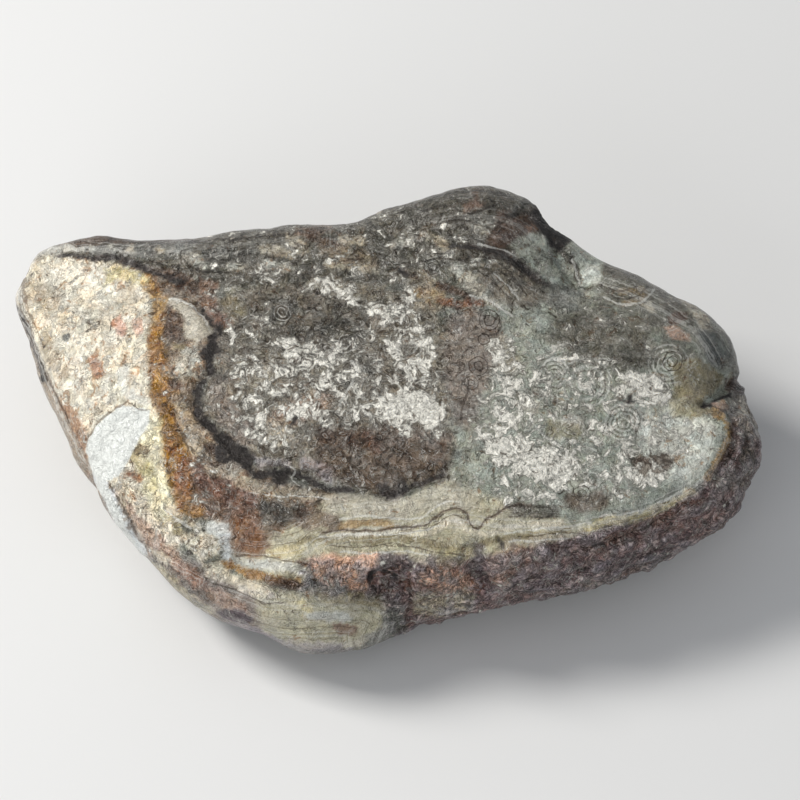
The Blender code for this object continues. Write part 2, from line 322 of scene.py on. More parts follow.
# bands, blotches and flecks: paint, amount, half width, softness, and a course or points in pixels
strokes = {
    # the cream facet
    "facet ivory": ("ivory", 0.8, 26, 30, (70, 285, 110, 300, 90, 340, 70, 375, 95, 400)),
    "yellow margin": ("paleYellow", 0.9, 13, 14, (146, 418, 150, 440, 148, 462, 156, 490, 164, 510)),
    "yellow clots": ("straw", 0.7, 6, 8, (136, 458, 148, 470, 152, 486)),
    "pink clot low": ("coral", 0.4, 5, 6, (94, 358, 98, 372)),
    "pink clot low stain": ("stain", 0.62, 6, 8, (94, 358, 98, 374)),
    "red freckles": ("pinkTan", 0.45, 8, 10, "red freckles"),
    "red freckle stain": ("stain", 0.72, 9, 10, "red freckles"),
    "grey smudge": ("tan", 0.65, 9, 12, (46, 344, 52, 358, 60, 372)),
    "tan smudge": ("tan", 0.5, 10, 12, (36, 292, 52, 302)),
    "pale crescent": ("milk", 0.6, 5, 7, (124, 370, 122, 384, 132, 394, 146, 402)),
    "orange flake": ("orange", 0.85, 4, 5, (130, 474, 138, 478)),
    "facet moss": ("ink", 0.35, 10, 14, (70, 300, 88, 318, 100, 330)),
    "facet moss low": ("ink", 0.3, 10, 14, (96, 380, 108, 396, 92, 408)),
    "yellow moss": ("ink", 0.85, 6, 8, (132, 448, 146, 452)),
    "patch moss": ("ink", 0.8, 5, 6, (104, 462, 112, 470)),
    "rim grey": ("drab", 0.8, 7, 5, (14, 300, 22, 278, 34, 258, 60, 243, 100, 239)),
    "rim grey left": ("drab", 0.8, 8, 5, (14, 306, 26, 342, 38, 372, 50, 402, 64, 432, 84, 470, 98, 492)),
    "rim white": ("chalkWhite", 0.8, 2.2, 2.5, (24, 300, 26, 282, 36, 266, 48, 258)),
    "rim white left": ("chalkWhite", 0.7, 2, 2.5, (24, 306, 33, 342, 42, 370)),
    "rim dark": ("seam", 0.8, 2, 3, (19, 304, 29, 342, 37, 366, 41, 380)),
    "rim blot": ("black", 0.85, 3, 4, (39, 379)),
    # the strip over the seam
    "strip white 1": ("chalkWhite", 0.85, 4, 5, (176, 252, 192, 258, 206, 266)),
    "strip white 2": ("chalkWhite", 0.85, 3.5, 4, (228, 266, 240, 266)),
    "strip white 3": ("chalkWhite", 0.85, 4.5, 5, (266, 264, 278, 266, 290, 268)),
    "strip white 4": ("bone", 0.85, 4, 5, (262, 250, 276, 252, 290, 256)),
    "strip white 5": ("bone", 0.8, 4, 5, (288, 240, 304, 250)),
    "strip white 6": ("bone", 0.8, 4, 5, (340, 242, 364, 244)),
    "strip white 7": ("bone", 0.75, 4, 6, (328, 264, 352, 266, 376, 268)),
    "strip white 8": ("chalkWhite", 0.75, 5, 7, (395, 244, 410, 244)),
    "strip white 9": ("bone", 0.8, 5, 7, (424, 234, 436, 240, 444, 246)),
    "strip white 10": ("chalkWhite", 0.7, 5, 7, (468, 226, 490, 226)),
    "strip white 11": ("chalkWhite", 0.7, 3.5, 5, (362, 217, 380, 216)),
    "strip tan": ("tan", 0.6, 7, 10, (326, 250, 350, 256, 370, 262)),
    "strip rust": ("redBrown", 0.5, 4, 6, (300, 234, 330, 233)),
    "strip dark": ("slate", 0.7, 7, 9, (210, 256, 250, 256)),
    "strip dark on": ("umber", 0.6, 4, 6, (310, 240, 335, 246)),
    # the amber band and its ridges
    "gold blot": ("gold", 0.5, 7, 12, (230, 302, 238, 312)),
    "maroon": ("maroon", 0.9, 14, 16, (206, 478, 226, 488, 244, 500)),
    "maroon tail": ("redBrown", 0.7, 14, 16, (238, 512, 248, 530, 256, 546)),
    "pale strip": ("ice", 1.0, 5.5, 3, "pale strip"),
    "speckled ink": ("ink", 0.45, 10, 12, (128, 505, 150, 530, 176, 556)),
    # the seam
    "seam far end": ("seam", 0.85, 2.5, 4, (378, 486, 388, 496, 400, 492, 412, 484, 428, 480, 444, 474)),
    "seam under middle": ("seam", 0.85, 6, 8, (384, 488, 392, 494, 404, 486)),
    "under seam": ("slate", 0.75, 8, 10, (266, 508, 284, 514, 300, 512)),
    "under seam on": ("umber", 0.6, 9, 12, (300, 520, 318, 518, 332, 522)),
    # the plateau
    "plateau left": ("mauve", 0.7, 14, 18, (222, 390, 226, 410, 244, 432)),
    "plateau pale": ("bone", 0.6, 10, 12, (236, 388, 250, 384, 262, 376)),
    "plateau peach": ("pinkTan", 0.6, 12, 16, (280, 424, 300, 410, 318, 404)),
    "plateau peach low": ("bone", 0.6, 9, 12, (272, 440, 290, 432)),
    "plateau rust": ("pinkTan", 0.5, 5, 9, (306, 412, 318, 402)),
    "plateau brown": ("umber", 0.6, 9, 12, (326, 436, 350, 440, 372, 440)),
    "plateau rust low": ("rust", 0.4, 5, 7, (366, 436, 376, 448)),
    "plateau grey low": ("mauve", 0.75, 9, 12, (392, 436, 420, 438, 440, 444)),
    "plateau grey mid": ("steel", 0.5, 14, 20, (340, 372, 372, 384)),
    "chalk middle": ("chalk", 1.0, 14, 18, "chalk middle"),
    "chalk middle tone": ("chalkWhite", 0.7, 12, 16, "chalk middle"),
    "chalk ring": ("chalk", 0.64, 10, 14, (396, 344, 412, 336, 424, 352, 418, 372, 402, 360)),
    "chalk left": ("chalk", 0.66, 8, 12, (292, 346, 312, 354, 322, 368, 334, 380)),
    "chalk upper": ("chalk", 0.66, 8, 10, "chalk upper"),
    "chalk upper tone": ("bone", 0.5, 7, 10, "chalk upper"),
    "chalk upper right": ("chalk", 0.6, 6, 8, (374, 306, 394, 312, 410, 306, 408, 294)),
    "slit": ("black", 0.8, 2.2, 3, "slit"),
    "slit stone": ("steel", 0.8, 7, 5, "slit stone"),
    "tan above": ("tan", 0.6, 12, 16, (420, 284, 436, 300)),
    "rust bar": ("rust", 0.8, 3.5, 5, (440, 300, 456, 304, 472, 302, 481, 303)),
    "ochre bar": ("ochre", 0.4, 6, 9, (418, 294, 440, 296)),
    # the knob and its saddle
    "knob line": ("black", 0.8, 2.2, 3, "knob line"),
    "saddle grey": ("steel", 0.6, 12, 14, (548, 292, 576, 300)),
    # the chalcedony at the right
    "chalk beige": ("bone", 0.7, 12, 14, (500, 346, 508, 362)),
    "chalk beige grain": ("chalk", 0.62, 14, 16, (500, 346, 512, 380, 508, 410)),
    "chalk low": ("chalk", 0.76, 18, 22, (500, 440, 530, 460, 560, 470)),
    "chalk blot 1": ("chalkWhite", 0.85, 6, 7, (524, 404, 534, 408)),
    "chalk blot 2": ("chalkWhite", 0.8, 6, 7, (566, 420, 576, 424)),
    "chalk blot 3": ("chalkWhite", 0.85, 9, 10, (630, 386, 648, 384, 660, 398)),
    "chalk blot 3 grain": ("chalk", 0.7, 14, 14, (630, 386, 648, 390, 666, 402)),
    "olive smooth": ("gold", 0.55, 9, 9, (556, 428, 570, 432)),
    "rust speckle": ("redBrown", 0.7, 7, 9, (640, 464, 654, 466, 666, 462)),
    "rust speckle low": ("umber", 0.6, 8, 9, (572, 500, 586, 504, 600, 500)),
    "rust speckle ink": ("ink", 0.8, 9, 10, (640, 464, 666, 464)),
    "chalk speckle": ("chalk", 0.8, 10, 12, (640, 474, 660, 480)),
    "olive under": ("olive", 0.7, 7, 8, (512, 508, 530, 512, 552, 512)),
    "dark spot tail": ("umber", 0.6, 2, 3, (618, 398, 632, 404)),
    "ochre rim": ("ochre", 0.85, 4, 4, (714, 412, 727, 420, 730, 436, 722, 452, 708, 478)),
    "rim brown": ("umber", 0.75, 3.5, 4, (734, 424, 736, 442, 728, 458)),
    "rim cortex": ("chalkWhite", 0.75, 8, 9, (742, 396, 750, 414, 752, 432)),
    "rim cortex dark": ("umber", 0.6, 5, 6, (744, 440, 748, 452)),
    "rim green": ("greenGrey", 0.6, 8, 10, (748, 456, 746, 468)),
    "rim mauve": ("mauve", 0.8, 10, 12, (722, 478, 738, 480)),
    # the laid bands
    "band pale": ("lens", 0.6, 11, 12, (336, 504, 372, 506, 404, 508, 440, 496, 470, 500)),
    "band pale grain": ("mottle", 0.25, 12, 12, (336, 506, 372, 508, 404, 510, 440, 498)),
    "band orange": ("amber", 0.5, 3.5, 4, "orange band"),
    "band dark": ("umber", 0.5, 1.7, 2.2, "dark band"),
    "band cream": ("cream", 0.6, 3, 4, (
        322, 538, 342, 535, 372, 537, 405, 533, 430, 534, 452, 518, 466, 530, 490, 534, 520, 526,
        560, 524)),
    "band olive": ("gold", 0.75, 3.5, 4, (
        300, 541, 340, 538, 367, 541, 392, 537, 417, 541, 442, 547, 467, 550, 492, 541, 530, 537,
        570, 530)),
    "band gold": ("straw", 0.75, 5, 6, (450, 553, 472, 554)),
    "band cream low": ("bone", 0.7, 5, 7, (400, 556, 430, 560, 460, 562)),
    "yellow edge": ("straw", 0.85, 4.5, 5, (584, 530, 608, 520, 630, 521, 651, 513, 673, 503, 692, 491)),
    "edge cream": ("bone", 0.7, 4, 5, (500, 545, 540, 540, 580, 534)),
    "brown line": ("amber", 0.85, 4, 4, "brown line"),
    "brown line end": ("umber", 0.8, 5, 5, (270, 580, 296, 586)),
    # the walls
    "wall stain": ("stain", 0.5, 14, 14, (310, 566, 340, 572, 372, 576, 420, 580, 470, 590)),
    "wall pink flake": ("pinkTan", 0.9, 6, 5, (322, 574, 332, 578)),
    "wall pink far": ("pinkTan", 0.5, 10, 14, (500, 560, 520, 556, 500, 580)),
    "wall grey": ("bruise", 0.7, 9, 10, (388, 560, 404, 564)),
    "wall lump": ("bone", 1.0, 13, 12, (424, 604, 446, 604, 462, 598)),
    "wall valley": ("bruise", 0.55, 5, 8, "wall valley"),
    "wall maroon": ("maroon", 0.6, 6, 9, (590, 546, 622, 538, 660, 520, 700, 498)),
    # painted shade over the lower right wall, and a painted highlight along its lower edge
    "wall shade": ("bruise", 0.5, 10, 14, (520, 585, 570, 578, 620, 566, 680, 545)),
    "wall edge highlight": ("mauve", 0.6, 5, 7, (560, 594, 620, 580, 680, 556, 720, 528)),
    "wall spot": ("umber", 0.8, 3, 4, (637, 531)),
    "wall notch": ("black", 0.7, 2.5, 4, "wall notch"),
    "wall notch on": ("black", 0.6, 2.5, 4, (594, 545, 606, 548)),
    "lobe olive top": ("gold", 0.6, 7, 9, (330, 598, 356, 598, 380, 604)),
    "lobe white top": ("chalkWhite", 0.8, 4, 5, (334, 590, 344, 588)),
    "lobe pale": ("ice", 0.6, 4.5, 5, (310, 614, 330, 617, 348, 617)),
    "lobe pale low": ("lens", 0.8, 4, 5, (290, 640, 320, 646, 350, 644, 372, 634)),
    "lobe grey low": ("steel", 0.6, 3, 4, (262, 634, 290, 648, 330, 652, 366, 646)),
    "lobe green": ("straw", 0.8, 4.5, 5, (302, 604, 310, 610)),
    "lobe moss": ("ink", 0.8, 5, 6, (290, 622, 298, 626)),
    "lobe brown": ("redBrown", 0.7, 5, 6, (338, 628, 350, 630)),
    "lobe flank": ("steel", 0.85, 11, 14, (396, 612, 392, 632, 372, 646)),
    "lobe base": ("lilac", 0.5, 6, 8, (250, 636, 300, 648, 350, 652)),
}

# smaller patches with crisp edges, painted last: paint, amount, softness of the edge, and corners in pixels
patches = {
    "top blot": ("umber", 0.8, 4, (
        150, 266, 178, 271, 192, 278, 200, 282, 198, 294, 186, 294, 176, 290, 172, 280, 150, 272)),
    "brown field": ("redBrown", 0.85, 4, (199, 278, 217, 280, 218, 296, 217, 312, 202, 312, 200, 300)),
    "red wedge": ("maroon", 0.8, 4, (200, 311, 216, 312, 230, 319, 236, 327, 222, 328, 210, 323, 202, 319)),
    "first ridge": ("lens", 0.95, 3, (
        164, 296, 178, 301, 190, 306, 200, 316, 208, 323, 214, 331, 207, 339, 198, 344, 188, 341, 184, 328,
        180, 316, 170, 306)),
    "second ridge": ("chalkWhite", 0.85, 5, (
        186, 346, 199, 342, 200, 355, 204, 365, 208, 373, 197, 379, 186, 377, 176, 379, 174, 364,
        180, 353)),
    "olive chip": ("gold", 0.8, 3, (171, 343, 187, 344, 186, 351, 172, 350)),
    "gold chip": ("ochre", 0.8, 4, (154, 298, 164, 300, 167, 312, 160, 321, 153, 318)),
    "orange chip": ("amber", 0.6, 4, (154, 362, 170, 362, 172, 380, 180, 392, 160, 398, 152, 384)),
    "dark chip": ("umber", 0.8, 3, (167, 380, 180, 382, 181, 390, 171, 391)),
    "dark speckle": ("umber", 0.75, 5, (
        163, 308, 176, 312, 183, 322, 182, 340, 170, 342, 160, 334, 166, 322)),
    "third ridge": ("tan", 0.85, 3, (
        178, 400, 186, 404, 192, 414, 204, 424, 214, 436, 218, 445, 208, 442, 200, 446, 201, 457, 193, 457,
        186, 446, 178, 430, 174, 414)),
    "ridge hollow": ("umber", 0.7, 3, (203, 443, 214, 444, 219, 450, 217, 457, 206, 454)),
    "orange low": ("orange", 0.85, 4, (178, 458, 191, 460, 192, 480, 190, 506, 178, 510, 174, 484)),
    "seam upper": ("black", 0.55, 3, (
        198, 302, 205, 306, 208, 316, 214, 322, 222, 326, 222, 332, 216, 338, 219, 345, 224, 354, 219, 357,
        214, 355, 214, 366, 215, 373, 208, 380, 204, 388, 202, 402, 193, 402, 192, 390, 198, 382, 206, 376,
        206, 364, 201, 356, 203, 348, 208, 344, 208, 337, 211, 330, 206, 320, 199, 312)),
    "seam lower": ("black", 0.55, 3, (
        193, 400, 202, 402, 204, 412, 212, 422, 222, 432, 234, 440, 244, 447, 256, 452, 258, 460, 252, 464,
        256, 469, 272, 468, 288, 468, 300, 471, 314, 478, 328, 486, 344, 486, 356, 489, 354, 493, 330, 492,
        312, 484, 298, 477, 288, 475, 290, 482, 286, 488, 278, 488, 272, 483, 270, 477, 254, 480, 246, 474,
        240, 466, 236, 463, 224, 464, 216, 459, 215, 448, 218, 445, 210, 436, 202, 426, 193, 416)),
    "seam stone": ("steel", 0.8, 3, (212, 350, 219, 350, 221, 356, 212, 357)),
    "seam stone low": ("steel", 0.7, 3, (195, 384, 200, 383, 201, 391, 195, 391)),
    "shelf": ("bone", 0.75, 4, (
        202, 463, 216, 465, 238, 469, 248, 479, 262, 484, 276, 491, 300, 488, 330, 495, 352, 497, 350, 502,
        300, 499, 270, 499, 246, 490, 226, 480, 206, 474)),
    "lilac stones": ("lilac", 0.6, 4, (253, 456, 272, 458, 290, 459, 291, 467, 272, 466, 256, 467)),
    "white stones": ("lilac", 0.6, 5, (
        301, 458, 322, 461, 333, 468, 333, 485, 323, 481, 312, 472, 300, 468)),
    "peach": ("cream", 0.6, 5, (266, 422, 290, 418, 294, 428, 284, 446, 268, 444)),
    "peach slit": ("black", 0.8, 2.5, (288, 426, 293, 417, 298, 415, 296, 424, 290, 428)),
    "pink wall": ("pinkRed", 0.95, 5, (
        308, 558, 330, 554, 378, 555, 380, 566, 368, 572, 364, 578, 370, 590, 352, 588, 336, 584, 328, 586,
        316, 578)),
    "pink flake": ("pinkTan", 0.9, 3, (312, 571, 320, 567, 332, 572, 337, 580, 327, 579, 318, 576)),
    "pink wall right": ("pinkRed", 0.75, 9, (
        414, 574, 432, 566, 452, 570, 466, 574, 478, 582, 472, 592, 452, 596, 436, 592, 420, 586)),
    # painted shade: black in the pit's cleft, and brown below it
    "pit": ("black", 0.95, 2.5, (
        366, 579, 372, 571, 380, 568, 390, 572, 400, 579, 395, 582, 386, 577, 378, 575, 371, 581)),
    "pit below": ("umber", 0.6, 4, (384, 580, 393, 582, 394, 590, 388, 594)),
    # the knob and its saddle
    "knob crown": ("olive", 0.9, 8, (
        420, 200, 450, 190, 490, 184, 520, 188, 536, 202, 530, 212, 500, 208, 470, 214, 440, 218)),
    "crown band": ("redBrown", 0.7, 4, (462, 206, 476, 201, 484, 206, 476, 212, 464, 214)),
    "crown blot": ("umber", 0.6, 3, (470, 198, 476, 188, 482, 190, 476, 200)),
    "knob chalk": ("chalk", 0.42, 14, (
        440, 222, 468, 216, 498, 216, 502, 226, 480, 244, 450, 246, 432, 240)),
    "knob brown": ("umber", 0.85, 5, (
        496, 212, 520, 210, 536, 212, 542, 226, 536, 236, 516, 240, 500, 250, 484, 244, 496, 228)),
    "knob red": ("redBrown", 0.8, 3, (524, 226, 536, 225, 540, 231, 528, 233)),
    "knob stone": ("steel", 0.8, 4, (513, 206, 524, 205, 528, 214, 510, 219)),
    # the dotted patch: partly its own pale grey, partly painted light on a side turned from the window
    "dotted patch": ("blueGrey", 0.85, 4, (
        520, 236, 538, 233, 548, 243, 558, 250, 570, 262, 577, 281, 560, 285, 541, 279, 530, 269, 518, 257,
        512, 246)),
    "dotted patch low": ("blueGrey", 0.85, 5, (532, 262, 556, 258, 572, 270, 574, 284, 556, 286, 540, 280)),
    # painted shadow on the knob's right flank, laid in black
    "flank": ("black", 0.9, 6, (
        524, 192, 540, 198, 550, 208, 562, 220, 574, 230, 584, 238, 578, 244, 566, 246, 560, 251, 551, 246,
        543, 236, 534, 218)),
    "cleft patch": ("blueGrey", 0.95, 4, (
        566, 246, 581, 242, 594, 254, 604, 268, 600, 283, 584, 285, 577, 272, 571, 258)),
    "cleft patch low": ("paleBlue", 0.8, 5, (578, 268, 600, 268, 601, 284, 584, 285)),
    "contour": ("seam", 0.7, 2.5, (
        462, 243, 480, 244, 500, 248, 514, 255, 530, 266, 544, 278, 552, 287, 540, 285, 526, 276, 510, 265,
        496, 258, 478, 251)),
    "under knob": ("taupe", 0.9, 6, (
        478, 262, 504, 262, 526, 276, 548, 292, 540, 306, 512, 310, 494, 296, 480, 280)),
    "rib": ("chalkWhite", 0.75, 4, (
        450, 262, 462, 264, 470, 272, 482, 286, 492, 298, 506, 308, 500, 311, 480, 300, 466, 288,
        456, 278)),
    "dark above rust": ("umber", 0.8, 3, (
        438, 282, 450, 284, 462, 290, 480, 302, 470, 299, 452, 294, 440, 290)),
    # the right lobe
    # the right lobe's olive, laid darker than its own colour: partly its colour, partly painted shade
    "lobe strip shade": ("olive", 0.6, 5, (
        600, 264, 614, 262, 640, 274, 664, 288, 680, 302, 660, 298, 640, 290, 616, 284, 602, 276)),
    "lobe ground shade": ("olive", 0.45, 6, (
        600, 284, 630, 286, 656, 300, 664, 318, 690, 345, 700, 358, 680, 362, 650, 330, 620, 310,
        596, 300)),
    "lobe gold": ("ochre", 0.35, 3, (
        618, 290, 640, 291, 648, 298, 642, 303, 622, 306, 622, 302, 638, 299, 636, 296, 620, 295)),
    "lobe cream": ("cream", 0.7, 3, (642, 304, 650, 302, 656, 312, 650, 315)),
    "lobe brown": ("olive", 0.7, 4, (658, 300, 690, 302, 690, 312, 664, 312)),
    "lobe spot": ("umber", 0.95, 2.5, (666, 318, 672, 314, 686, 315, 688, 320, 682, 324, 670, 324)),
    "lobe pink": ("pinkTan", 0.9, 3, (664, 327, 676, 326, 690, 336, 690, 341, 678, 340, 668, 335)),
    "lobe white": ("bone", 0.6, 3, (678, 304, 690, 305, 704, 320, 710, 332, 700, 332, 690, 318)),
    "glass": ("glass", 0.95, 7, (698, 334, 710, 335, 728, 352, 726, 364, 716, 368, 706, 357)),
    "glass face": ("blueGrey", 0.35, 6, (711, 340, 722, 341, 730, 352, 724, 357, 714, 350)),
    "olive smooth": ("gold", 0.8, 5, (
        672, 364, 700, 357, 722, 378, 718, 388, 702, 402, 712, 412, 690, 420, 668, 405, 675, 384)),
    "olive smooth low": ("greyOlive", 0.7, 6, (668, 398, 684, 398, 696, 412, 684, 420, 668, 412)),
    "nick": ("umber", 0.85, 4, (722, 380, 730, 378, 742, 380, 736, 388, 728, 394)),
    "crack": ("black", 0.95, 2.5, (
        700, 407, 704, 401, 711, 402, 716, 397, 730, 394, 730, 398, 718, 401, 712, 407)),
    "cortex": ("pinkTan", 0.85, 3, (712, 402, 724, 400, 732, 410, 722, 414)),
    "cortex white": ("chalkWhite", 0.7, 4, (728, 400, 744, 398, 752, 418, 742, 424, 730, 414)),
    "star spot": ("black", 0.9, 2.5, (
        620, 400, 626, 401, 628, 396, 632, 395, 631, 400, 636, 402, 628, 405)),
    # the upper left corner and the cream facet
    "far rim": ("umber", 0.6, 4, (
        40, 252, 60, 242, 90, 237, 200, 236, 200, 246, 90, 248, 60, 250, 44, 257)),
    "far grey": ("steel", 0.8, 4, (84, 248, 200, 246, 190, 256, 150, 262, 118, 256, 84, 256)),
    # the pale strip and the milky patch: the smooth chalcedony's own pale colour with a painted reflection
    # of the light on it
    "pale strip": ("milk", 0.9, 2.5, (
        95, 468, 102, 477, 110, 491, 118, 507, 127, 527, 136, 545, 144, 558, 136, 553, 126, 541, 116, 523,
        106, 503, 97, 486)),
    "milky patch": ("milk", 1.0, 3, (
        86, 448, 92, 432, 104, 417, 122, 405, 150, 410, 150, 422, 138, 440, 128, 462, 118, 476, 104, 482,
        92, 474)),
    "far streak": ("chalkWhite", 0.95, 2, (46, 259, 56, 253, 66, 250, 84, 249, 84, 252, 66, 254, 52, 260)),
    "far dots": ("chalkWhite", 0.85, 2.5, (90, 252, 94, 246, 100, 252)),
    "far dots two": ("chalkWhite", 0.85, 2.5, (106, 251, 112, 246, 117, 252)),
    "far dots three": ("bone", 0.85, 2.5, (126, 254, 132, 247, 138, 255)),
    "far dots four": ("bone", 0.8, 2.5, (152, 254, 158, 248, 164, 255)),
    "seam lead": ("seam", 0.95, 2.5, (
        54, 259, 72, 255, 96, 256, 118, 255, 136, 260, 152, 268, 168, 274, 184, 279, 182, 285, 164, 280,
        148, 274, 132, 267, 116, 262, 96, 261, 72, 259)),
    "corner gold": ("straw", 0.85, 4, (
        104, 268, 120, 266, 140, 272, 152, 280, 150, 286, 134, 282, 118, 280, 106, 284)),
    "side gold": ("ochre", 0.8, 4, (140, 280, 156, 284, 168, 300, 166, 316, 156, 320, 152, 300, 144, 292)),
    "milky top": ("ivory", 0.9, 6, (96, 293, 110, 291, 124, 293, 122, 302, 104, 302)),
    "milky middle": ("ivory", 0.85, 8, (72, 338, 98, 328, 120, 336, 114, 350, 90, 352)),
    "milky side": ("ivory", 0.8, 8, (134, 300, 148, 304, 154, 322, 146, 330, 138, 318)),
    "pink clot": ("coral", 0.6, 3, (112, 322, 120, 316, 126, 326, 124, 338, 118, 334)),
    "pink clot right": ("coral", 0.5, 3, (132, 320, 142, 320, 144, 332, 136, 336)),
    "grey spot": ("steel", 0.95, 2.5, (62, 334, 68, 332, 71, 338, 66, 342, 61, 339)),
    # the lower left
    "ridge beige": ("bone", 0.85, 4, (
        160, 504, 172, 506, 190, 518, 206, 526, 200, 534, 184, 524, 166, 514)),
    "orange tail": ("amber", 0.9, 4, (172, 488, 196, 500, 206, 512, 196, 518, 180, 508)),
    "orange block": ("orange", 0.45, 5, (232, 520, 256, 522, 262, 548, 250, 560, 236, 546)),
    "white block": ("milk", 0.85, 5, (204, 524, 216, 520, 230, 523, 232, 536, 206, 538)),
    "white block low": ("ice", 0.85, 5, (220, 534, 232, 534, 231, 562, 224, 560)),
    "cream curls": ("cream", 0.85, 4, (184, 534, 204, 532, 218, 540, 220, 556, 200, 560, 186, 548)),
    "olive spot": ("gold", 0.9, 4, (172, 516, 182, 518, 182, 534, 173, 536)),
    "yellow end": ("straw", 0.8, 4, (264, 550, 290, 545, 306, 548, 300, 559, 272, 560)),
    "white lens": ("ice", 0.6, 4, (
        232, 560, 262, 560, 290, 562, 308, 566, 306, 574, 280, 573, 256, 569, 238, 566)),
    "ledge": ("cream", 0.85, 4, (
        202, 563, 220, 562, 240, 578, 268, 586, 276, 598, 252, 596, 226, 584, 206, 576)),
    "speckled shelf": ("pinkTan", 0.7, 5, (
        126, 500, 146, 522, 176, 552, 204, 580, 196, 590, 168, 564, 142, 538, 128, 514)),
    "shelf pieces": ("cream", 0.8, 3, (150, 548, 164, 552, 174, 562, 166, 566, 154, 558)),
    "left wall brown": ("rust", 0.5, 5, (176, 560, 200, 572, 214, 588, 200, 592, 180, 576)),
    "left wall pink": ("pinkTan", 0.6, 4, (204, 586, 224, 590, 246, 606, 252, 616, 226, 610, 208, 600)),
    "left wall dark": ("bruise", 0.9, 4, (216, 612, 240, 610, 256, 620, 246, 624, 222, 620)),
    "left wall pale": ("greyOlive", 0.7, 5, (
        144, 556, 160, 566, 190, 594, 214, 612, 206, 618, 172, 594, 148, 566)),
    "left wall lilac": ("lilac", 0.75, 5, (222, 622, 250, 626, 272, 634, 282, 648, 262, 642, 230, 632)),
    "pit right": ("umber", 0.75, 4, (404, 582, 410, 581, 412, 592, 414, 606, 411, 616, 406, 610, 408, 598)),
}

# the courses that the thin layers of the stone run along, in pixels
layerCourses = {
    "lower rim": (
        150, 520, 200, 545, 240, 560, 300, 556, 330, 538, 392, 532, 440, 520, 500, 526, 570, 528, 620, 518,
        660, 505, 700, 482, 724, 450, 728, 420),
    "front lobe": (230, 590, 290, 606, 350, 604, 386, 616, 376, 640),
    "left rim": (92, 474, 60, 420, 34, 350, 20, 300, 34, 266, 70, 250, 140, 256, 210, 250, 300, 240),
    "knob": (430, 222, 470, 216, 510, 222, 534, 240, 556, 268),
    "right lobe": (600, 284, 640, 300, 690, 330, 716, 366),
}

# where the layers show: how plainly, half width, softness, and points in pixels
layerStrength = {
    "along the lower rim": (0.9, 16, 22, (
        250, 556, 330, 532, 392, 528, 440, 520, 500, 522, 570, 526, 640, 514, 700, 486)),
    "over the pale band": (0.5, 10, 16, (340, 506, 400, 508, 450, 496)),
    "on the front lobe": (0.75, 24, 24, (250, 600, 310, 620, 370, 625)),
    "on the left wall": (0.6, 12, 14, (130, 520, 180, 560, 230, 590)),
    "on the left rim": (0.9, 8, 8, (84, 466, 60, 425, 36, 360, 20, 300, 34, 262, 70, 247, 140, 248)),
    "on the far strip": (0.4, 10, 16, (160, 250, 240, 250, 340, 240)),
    "on the knob": (0.4, 22, 26, (440, 215, 490, 210, 520, 235)),
    "under the knob": (0.35, 14, 18, (500, 280, 524, 300, 560, 300)),
    "on the right lobe": (0.8, 14, 16, (606, 280, 640, 298, 680, 320, 716, 356)),
    "on the right rim": (0.6, 14, 20, (716, 440, 700, 470, 670, 490)),
}

